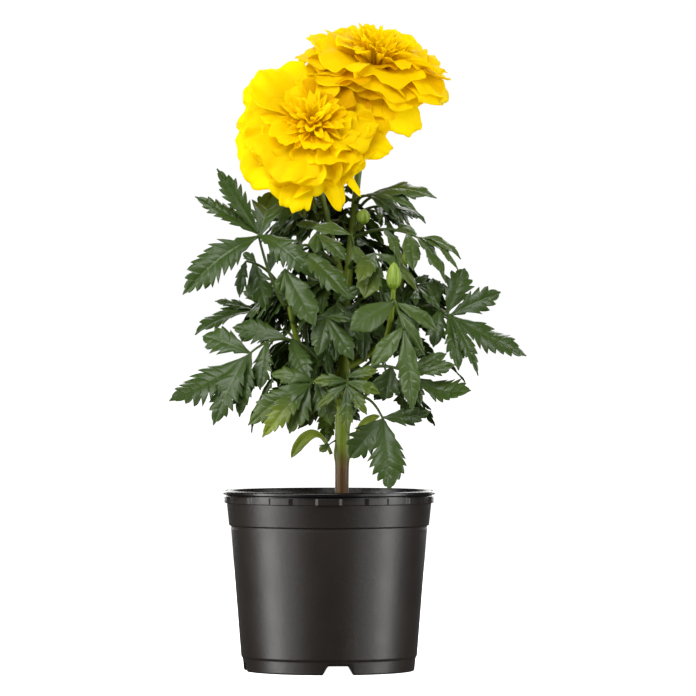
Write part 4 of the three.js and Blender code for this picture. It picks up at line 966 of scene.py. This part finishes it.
class Pose:
    """A leaf's rachis and leaflets after a turn about its foot, as its solid is posed."""

    def __init__(self, leaf, turn=(0, 0)):
        self.leaf = leaf
        centre, limb_along = bend(limb_path(leaf["limb"]), leaf["at"])
        away = vec(leaf["end"]) - centre
        level = unit(vec([away[1], -away[0], 0]))
        self.centre, self.level, (self.swing, self.lift) = centre, level, turn
        via, end = self.placed(leaf["via"]), self.placed(leaf["end"])
        lean = unit(via - centre)
        out = unit(lean - limb_along * np.dot(lean, limb_along))
        slant = np.linalg.norm(np.cross(lean, out))
        room = LEAF_SEAT["gap"] + LEAF_SEAT["slant"] * slant
        self.out = out
        self.foot = centre + out * (limb_radius(leaf["limb"], leaf["at"]) + room)
        self.path = [self.foot, via, end]
        self.face = unit(self.turned(vec(leaf["face"])))

    def turned(self, v):
        v = turned_about(v, self.level, self.lift)
        return turned_about(v, vec([0, 0, 1]), self.swing)

    def placed(self, point):
        return self.turned(vec(point) - self.centre) + self.centre

    def frame(self, path, share):
        """Places along a bend, with the directions along, across and up there."""
        origin, along = bend(path, share)
        across = unit(np.cross(self.face, along))
        return origin, along, across, np.cross(along, across)

    def leaflet_path(self, leaflet):
        place, tip, _, arch = leaflet
        root, _ = bend(self.path, place)
        end = self.placed(tip)
        length = np.linalg.norm(end - root)
        top = root + (end - root) * ARCH_TOP + self.face * 2 * arch * length
        return [root, top, end], length

    def box(self):
        """The lowest and highest corner of the leaf's plain solid in this pose."""
        corners = []
        lowest = min(leaflet[0] for leaflet in self.leaf["leaflets"])
        for place in (0, 0.5 * lowest):
            origin, _, across, up = self.frame(self.path, place)
            for side in (-0.95, 0.95):
                corners += [origin + across * side, origin + across * side - up * 1.5]
        for leaflet in self.leaf["leaflets"]:
            path, length = self.leaflet_path(leaflet)
            for share, half in plain_edge(length):
                origin, _, across, up = self.frame(path, share)
                for side in (-half, half):
                    point = origin + across * side * leaflet[2] / 2
                    corners += [point, point - up * 0.7]
        return np.min(corners, 0), np.max(corners, 0)


def plain_edge(length):
    """Half the outline of a leaflet's solid: [share of its length, share of its half width]."""
    ends = [[0.13, 0.2], [1, 0]]
    if length < 21:
        return [*ends, [0.56, 1]]
    if length < 27:
        return [*ends, [0.5, 1], [0.6, 0.62]]
    return [*ends, [0.4, 0.86], [0.47, 0.62], [0.68, 1], [0.75, 0.6]]


def seated_pose(leaf):
    """The leaf in the turn that its solid took, which the solid's box tells."""
    low, high = (vec(corner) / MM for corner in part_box(leaf["name"]))
    best, least = None, 1e9
    for turn in TURNS:
        pose = Pose(leaf, turn)
        pose_low, pose_high = pose.box()
        miss = max(np.abs(pose_low - low).max(), np.abs(pose_high - high).max())
        if miss < least:
            best, least = pose, miss
        if least < SAME_BOX:
            break
    return best


def leaflet_at(pose, place, angle, length, sag, width):
    """A leaflet from that place on a rachis, at an angle to it, with its tip let down by a sag."""
    origin, along, across, _ = pose.frame(pose.path, place)
    aside = math.radians(angle)
    tip = origin + (along * math.cos(aside) + across * math.sin(aside)) * length
    tip[2] -= sag * length
    return [place, tip, width * length, ARCH]


def fill_leaves():
    draw = seeded(FILL_SEED)

    def vary(amount):
        return amount * (2 * next(draw) - 1)

    leaves = []
    for level, row in enumerate(FILL_TIERS):
        tier = dict(zip(TIER_PARTS, row))
        count = tier["count"]
        for k in range(count):
            share = k / (count - 1)
            turn = math.radians(tier["first"] + (tier["last"] - tier["first"]) * share + vary(5))
            c, s = math.cos(turn), math.sin(turn)
            reach_of = {n: bend(limb_path(n), tier["at"])[0] @ vec([c, s, 0]) for n in BRANCHES}
            nearest = max(BRANCHES, key=reach_of.get)
            limb = "trunk" if tier["limb"] == "trunk" else nearest
            climb = ((2 * k) % count) / count - 0.5
            at = tier["at"] + tier["climb"] * climb + vary(0.01)
            foot, _ = bend(limb_path(limb), at)
            spread = tier["spread"] * (1 + vary(0.08))
            end = [spread * c, spread * s, tier["z"] + vary(4)]
            top = max(foot[2], end[2]) + 8 + vary(3)
            via = [(foot[0] + end[0]) / 2, (foot[1] + end[1]) / 2, top]
            reach = tier["reach"] * (1 + vary(0.12))
            face = [FILL_LEAF["outward"] * c, FILL_LEAF["outward"] * s, FILL_LEAF["upward"]]
            name = f"leaf_fill_{level + 1}_{k + 1}"
            leaf = dict(zip(LEAF_PARTS, [name, limb, at, via, end, face]))
            shoots = [(1, 0, reach)]
            for p in range(FILL_LEAF["pairs"]):
                place, angle = 0.95 - 0.21 * p, 44 + 34 * p + vary(5)
                length = reach * (0.9 - 0.14 * p)
                shoots += [(place, angle, length), (place - 0.03, vary(4) - angle, length * 0.96)]
            pose = Pose(leaf)
            leaf["leaflets"] = [
                leaflet_at(pose, *shoot, tier["sag"], FILL_LEAF["width"]) for shoot in shoots
            ]
            leaves.append(leaf)
    return [leaf for leaf in leaves if leaf["name"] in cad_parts]


def leaflet_rows(length):
    """Rows along a leaflet: [share, half width, cut of the teeth, how much side vein is there]."""
    teeth = int(np.clip(round(length / LEAFLET["tooth_pitch"]), 2, 9))
    starts = np.linspace(*TOOTHED, teeth + 1)
    rows = [[share, cut, 0] for share, cut in BELOW_TEETH]
    for start, end in zip(starts, starts[1:]):
        rows += [[start + (end - start) * share, cut, share > 0.8] for share, cut in TOOTH]
    rows = vec(rows + [[share, cut, 0] for share, cut in PAST_TEETH])
    halves = np.interp(rows[:, 0], *zip(*LEAFLET_HALVES))
    return np.insert(rows, 1, halves, axis=1)


def add_leaflet(piece, pose, leaflet, rng, depth=1.0, pale=0.0, young=0.0, plain=False):
    """A leaflet in a piece; a plain one, for the small inner leaves, has a coarser mesh."""
    path, length = pose.leaflet_path(leaflet)
    half_width = leaflet[2] / 2 * LEAFLET["broader"]
    rows = leaflet_rows(length)
    uneven = rng.uniform(*LEAFLET["uneven"], (len(rows), 2))
    uneven = np.repeat(uneven, len(TOOTH), axis=0)[:len(rows)]
    if plain:
        kept = ~np.isin(rows[:, 0], PLAIN_SKIPS)
        kept &= ~np.isin(rows[:, 2], [TOOTH[1][1], TOOTH[3][1]])
        rows, uneven = rows[kept], uneven[kept]
    share, half, cut, side_vein = rows.T[:, :, None]
    across_at = vec(PLAIN_COLUMNS if plain else FINE_COLUMNS)[None, :]
    away = abs(across_at)
    rib = away < 0.05
    half = half * (1 + (cut - 1) * depth * uneven[:, (across_at[0] > 0).astype(int)])
    ahead = LEAFLET["forward"] * away * half * half_width / length
    reached = 1 - (1 - share) * np.exp(-ahead / np.maximum(1 - share, 0.02))
    origin, _, across, up = pose.frame(path, reached)
    twist = math.radians(rng.uniform(*LEAFLET["twist"])) * share[..., None]
    across, up = rolled(across, up, twist)
    aside = across_at * half * half_width
    fold = rng.uniform(*LEAFLET["fold"])
    rise = abs(aside) * fold - aside**2 / half_width * rng.uniform(*LEAFLET["fold"])
    phases = rng.uniform(0, 2 * math.pi, 2)[(across_at > 0).astype(int)]
    waves = rng.uniform(1.6, 2.8)
    waving = np.sin(share * waves * 2 * math.pi + phases)
    rise = rise + LEAFLET["wave"] * length * away**2 * half * waving
    puff = np.sin(math.pi * np.clip(away * 1.1, 0, 1)) * (1 - side_vein)
    rise = rise + LEAFLET["puff"] * puff - LEAFLET["puff"] / 2 - LEAFLET["groove"] * rib
    points = origin + across * aside[..., None] + up * rise[..., None]
    thickness = LEAFLET["thickness"] + LEAFLET["midrib"] * rib * (1 - share)
    vein = np.maximum(rib * (1 - 0.35 * share), 0.5 * side_vein * (1 - 0.6 * away))
    # `pale` is a painted sheen, drawn a little different for each leaflet.
    add_sheet(piece, points, thickness, across=across_at / 2 + 0.5, along=share, vein=vein,
              shade=rng.uniform(0, 1), young=young * smooth(0.2, 0.9, share),
              pale=pale * rng.uniform(0.6, 1.1))


def make_leaf(leaf, rng):
    name, pose, piece = leaf["name"].removeprefix("leaf_"), seated_pose(leaf), Piece()
    last = max(leaflet[0] for leaflet in leaf["leaflets"])
    share = np.linspace(0, last, 26)
    centres, _ = bend(pose.path, share)
    sunk = LEAF_SEAT["gap"] + 1.4 + 0.3 * np.linalg.norm(pose.foot - pose.centre)
    centres = np.concatenate([[pose.foot - pose.out * sunk], centres])
    radii = np.concatenate([[1.5], np.interp(share, *zip(*RACHIS_RADII))])
    radii = radii * (0.5 if name == "sprig" else 1)
    add_tube(piece, centres, radii, sides=10, ribs=4, rib_depth=0.06, vein=0.55, shade=0.5)
    depth, pale, young = LEAF_LOOKS.get(name, [1, 0, 0])
    for index, (place, tip, width, arch) in enumerate(leaf["leaflets"]):
        key = (name, index)
        leaflet = [place, tip, width * WIDER.get(key, 1), OTHER_ARCH.get(key, arch)]
        add_leaflet(piece, pose, leaflet, rng, depth, pale, YOUNG_TIPS.get(key, young))
    piece.make("toothed_" + leaf["name"], LEAF, "leaf", leaf["name"])


def make_thicket():
    """Small leaves inside the plant, drawn by a seeded rule and kept within its outline."""
    rng = np.random.default_rng(SEEDS["thicket"])
    heights, lefts, rights = zip(*THICKET_EDGES)
    piece = Piece()
    grown = 0
    while grown < THICKET["count"]:
        limb, low, high = THICKET_LIMBS[rng.integers(len(THICKET_LIMBS))]
        at = rng.uniform(low, high)
        foot, _ = bend(limb_path(limb), at)
        outward = math.atan2(foot[1], foot[0] - THICKET["middle"])
        turn = rng.uniform(0, 2 * math.pi) if limb == "trunk" else outward + rng.uniform(-1.6, 1.6)
        level = vec([math.cos(turn), math.sin(turn), 0])
        end = foot + level * rng.uniform(*THICKET["out"]) + vec([0, 0, rng.uniform(-6, 14)])
        via = (foot + end) / 2 + vec([0, 0, rng.uniform(3, 8)])
        face = level * 0.7 + vec([0, -0.35, 0.6]) + rng.normal(size=3) * 0.12
        pose = Pose({"limb": limb, "at": at, "via": via, "end": end, "face": face})
        reach = rng.uniform(*THICKET["reach"])
        leaflets = [
            leaflet_at(pose, place, angle + rng.uniform(-8, 8),
                       reach * share * rng.uniform(0.85, 1.1), rng.uniform(0.1, 0.55),
                       THICKET["width"])
            for place, angle, share in THICKET_LEAFLETS
        ]
        x, y, z = np.array([leaflet[1] for leaflet in leaflets]).T
        inside = (x > np.interp(z, heights, lefts)) & (x < np.interp(z, heights, rights))
        inside &= (y > THICKET["front"]) & (y < THICKET["rear"])
        inside &= (z > THICKET["low"]) & (z < THICKET["high"])
        if not inside.all():
            continue
        grown += 1
        centres, _ = bend(pose.path, np.linspace(0, 1, 10))
        radii = np.interp(np.arange(11), [0, 10], [1.1, 0.5])
        centres = np.concatenate([[foot], centres])
        add_tube(piece, centres, radii, sides=6, vein=0.5, shade=0.4)
        for leaflet in leaflets:
            add_leaflet(piece, pose, leaflet, rng, plain=True)
    piece.make("inner_leaves", LEAF, "leaf")


def make_seed_leaf(name, path, width):
    """A smooth spoon on a narrow stalk, curled over."""
    rows, columns = 34, 9
    share = np.linspace(0, 1, rows)[:, None]
    across_at = np.linspace(-1, 1, columns)[None, :]
    rib = abs(across_at) < 0.05
    origin, along = bend(path, np.broadcast_to(share, (rows, columns)))
    across = unit(np.cross(vec([0, -1, 0.35]), along))
    up = np.cross(along, across)
    aside = across_at * np.interp(share, *zip(*SPOON_HALVES)) * width
    rise = 0.35 * abs(aside) * smooth(0, 0.2, share) - 0.25 * rib
    points = origin + across * aside[..., None] + up * rise[..., None]
    thickness = 1.0 - 0.55 * smooth(0.3, 0.6, share) + 0.2 * rib
    piece = Piece()
    add_sheet(piece, points, thickness, across=across_at / 2 + 0.5, along=share, vein=rib * 0.8)
    piece.make("smooth_" + name, SEED_LEAF, "seed_leaf", name)


# ---------------------------------------------------------------- blooms


def add_petal(piece, head, petal, rng, rows=17, columns=29):
    """One petal: a narrow claw that opens to a broad round blade with a ruffled edge."""
    facing = unit(vec(head["axis"]))
    right = unit(np.cross(vec([0, 0, 1]), facing))
    top = np.cross(facing, right)
    turn, tilt = math.radians(petal["turn"]), math.radians(petal["tilt"])
    outward = right * math.cos(turn) + top * math.sin(turn)
    root = head_base(head) + outward * petal["root"] + facing * petal["height"]
    start = facing * math.cos(tilt) + outward * math.sin(tilt)
    back = outward * math.cos(tilt) - facing * math.sin(tilt)
    sideways = np.cross(facing, outward)
    twist = math.radians(petal.get("twist", rng.uniform(-14, 14)))
    sideways, back = rolled(sideways, back, twist)

    # The blade's outline, `out` along it and `aside` across it.
    v = np.linspace(0, 1, rows)[:, None] ** 0.9
    u = np.linspace(-1, 1, columns)[None, :]
    phase = rng.uniform(0, 2 * math.pi, 8)
    swing = math.radians(petal.get("fan", 44))
    edge = smooth(0.3, 1, v)
    lobes = 0.024 * np.cos(2.2 * math.pi * u + phase[0])
    lobes = lobes + 0.01 * np.cos(4.6 * math.pi * u + phase[1])
    out = v * (1 - (1 - np.cos(u * swing)) * v**1.4 + lobes * edge)
    half = petal["width"] * (0.05 + 0.45 * smooth(-0.05, 0.8, v) ** 0.9)
    aside = half * np.sin(u * swing) / math.sin(swing)

    # Its curl backwards along an arc.
    reach, curl = petal["reach"], math.radians(petal["curl"])
    bow, arc = curl * out, reach / curl
    up = start * np.sin(bow)[..., None] - back * np.cos(bow)[..., None]
    points = root + start * (arc * np.sin(bow))[..., None]
    points = points + back * (arc * (1 - np.cos(bow)))[..., None]

    # Its folds and ruffles, which grow towards the edge, its hollow and its rolled rim.
    folds = petal.get("folds", rng.uniform(1.3, 2.3))
    swell = v**1.7 * (0.45 + 0.55 * np.maximum(v**2, abs(u)))
    waves = 0.8 * np.sin(folds * math.pi * u + phase[2] + 0.8 * v)
    waves = waves + 0.36 * v * np.sin(2.2 * folds * math.pi * u + phase[3] - 1.2 * v)
    waves = waves + 0.06 * edge**2 * np.sin(3.6 * folds * math.pi * u + phase[5])
    cup = petal.get("cup", rng.uniform(-0.05, 0.17))
    rise = petal["ruffle"] * swell * waves + cup * petal["width"] * u**2 * smooth(0, 0.5, v)
    rise = rise + reach * 0.03 * np.sin(2.4 * math.pi * v + phase[4]) * v
    rise = rise - petal.get("roll", rng.uniform(-0.06, 0.1)) * reach * smooth(0.6, 1, v) ** 2
    points = points + sideways * aside[..., None] + up * rise[..., None]
    add_sheet(piece, points, PETAL_THICKNESS, across=u / 2 + 0.5, along=v, shade=petal["shade"])


def make_bloom(side, head, rng):
    piece = Piece()
    mound = turned_grid(CORE_PROFILE, round_turns(16))
    piece.add(on_axis(mound, head_base(head), head["axis"]), body_faces(mound), shade=0.6)
    for row in head["outer"]:
        petal = dict(zip(PETAL_PARTS, row), twist=rng.uniform(-5, 5), **OUTER_SEAT)
        if petal["ruffle"] < SMOOTH_RUFFLE:
            petal.update(cup=0, folds=1.4)
        add_petal(piece, head, petal, rng, rows=20, columns=33)
    turns, shares = zip(*head["outline"])
    for row in head["rings"]:
        ring = dict(zip(RING_PARTS, row))
        for k in range(ring["count"]):
            petal = dict(ring)
            petal["turn"] = (ring["start"] + 360 * k / ring["count"] + rng.uniform(-11, 11)) % 360
            petal["tilt"] += rng.uniform(-9, 9)
            petal["reach"] *= rng.uniform(0.86, 1.05) * np.interp(petal["turn"], turns, shares)
            petal["width"] *= rng.uniform(0.85, 1.2)
            petal["shade"] = rng.uniform(*head["shade"])
            # Ring petals near `hollow`, where the heads shade each other, take the darkest painted
            # shade.
            if abs(petal["turn"] - head["hollow"]) < PAINTED_SHADE_SPAN:
                petal["shade"] = 1.0
            add_petal(piece, head, petal, rng)
    florets = head["florets"]
    for k in range(florets["count"]):
        share = (k + 0.5) / florets["count"]
        petal = {
            "turn": GOLDEN_TURN * k + rng.uniform(-8, 8),
            "root": 0.4 + florets["circle"] * math.sqrt(share),
            "height": florets["height"] + 1.5 * (1 - share), "tilt": 2 + florets["spread"] * share,
            "curl": rng.uniform(6, 34), "reach": florets["reach"] * rng.uniform(0.78, 1.1),
            "width": florets["width"] * rng.uniform(0.75, 1.3), "ruffle": 0.35,
            "cup": rng.uniform(0.3, 0.62), "roll": rng.uniform(-0.05, 0.16), "folds": 1.0,
            "shade": rng.uniform(0.3, 0.8),
        }
        add_petal(piece, head, petal, rng, rows=12, columns=9)
    piece.make(f"ruffled_bloom_{side}", PETAL, "petal", f"bloom_{side}")


# ---------------------------------------------------------------- the plant

make_pot()
make_soil(np.random.default_rng(SEEDS["soil"]))
make_stem()
make_cups_and_buds()
for number, leaf in enumerate(LEAVES + fill_leaves()):
    make_leaf(leaf, np.random.default_rng(SEEDS["leaves"] + number))
make_thicket()
for seed_leaf in SEED_LEAVES:
    make_seed_leaf(*seed_leaf)
for number, (side, head) in enumerate(HEADS.items()):
    make_bloom(side, head, np.random.default_rng(SEEDS["blooms"] + number))


# ---------------------------------------------------------------- floor, light and camera


def make_stage():
    """A wide white floor. Only the camera sees it, so it throws no light up at the plant."""
    mesh = bpy.data.meshes.new("pale_floor")
    half = 40.0
    corners = [(-half, -half, 0), (half, -half, 0), (half, half, 0), (-half, half, 0)]
    mesh.from_pydata(corners, [], [(0, 1, 2, 3)])
    g = Graph("floor_white")
    white = {"Emission Color": [1, 1, 1, 1], "Emission Strength": 1.0}
    grey = {"Base Color": [0.8, 0.8, 0.8, 1], "Roughness": 0.9}
    surface = g.node("BsdfPrincipled", {**grey, **white})
    g.node("OutputMaterial", {"Surface": surface.outputs[0]})
    mesh.materials.append(g.material)
    floor = bpy.data.objects.new("pale_floor", mesh)
    floor.visible_diffuse = floor.visible_glossy = floor.visible_transmission = False
    floor.visible_shadow = False
    bpy.context.scene.collection.objects.link(floor)


def add_light(name, place, aim, size, power):
    light = bpy.data.lights.new(name, "AREA")
    light.shape, light.size, light.size_y = "RECTANGLE", size[0], size[1]
    light.energy = power
    obj = bpy.data.objects.new(name, light)
    obj.location = place
    direction = obj.location - type(obj.location)((0, 0, aim))
    obj.rotation_euler = direction.to_track_quat("Z", "Y").to_euler()
    bpy.context.scene.collection.objects.link(obj)


def make_light():
    """White round about to look at, a dimmer white to light by, and the soft lights.

    What shines off the surfaces is dimmer still, so that the pot's edges stay black.
    """
    world = bpy.data.worlds.new("soft_white")
    world.use_nodes = True
    tree = world.node_tree
    rays = tree.nodes.new("ShaderNodeLightPath").outputs
    mirrored = tree.nodes.new("ShaderNodeMapRange")
    mirrored.inputs["To Min"].default_value = WORLD["light"]
    mirrored.inputs["To Max"].default_value = WORLD["mirrored"]
    tree.links.new(rays["Is Glossy Ray"], mirrored.inputs["Value"])
    strength = tree.nodes.new("ShaderNodeMapRange")
    strength.inputs["To Max"].default_value = WORLD["seen"]
    tree.links.new(mirrored.outputs[0], strength.inputs["To Min"])
    tree.links.new(rays["Is Camera Ray"], strength.inputs["Value"])
    background = tree.nodes["Background"]
    background.inputs["Color"].default_value = (1, 1, 1, 1)
    tree.links.new(strength.outputs[0], background.inputs["Strength"])
    bpy.context.scene.world = world
    for light in LIGHTS:
        add_light(*light)


def make_camera():
    data = bpy.data.cameras.new("photo_camera")
    data.sensor_width = SENSOR
    data.lens = SENSOR * CAMERA_DISTANCE / FRAME_MM
    data.clip_end = 50
    camera = bpy.data.objects.new("photo_camera", data)
    camera.location = (0, -CAMERA_DISTANCE * MM, CAMERA_HEIGHT * MM)
    camera.rotation_euler = (math.pi / 2, 0, 0)
    bpy.context.scene.collection.objects.link(camera)
    bpy.context.scene.camera = camera


make_stage()
make_light()
make_camera()
bpy.context.scene.view_settings.view_transform = "Standard"
bpy.context.scene.view_settings.look = "None"
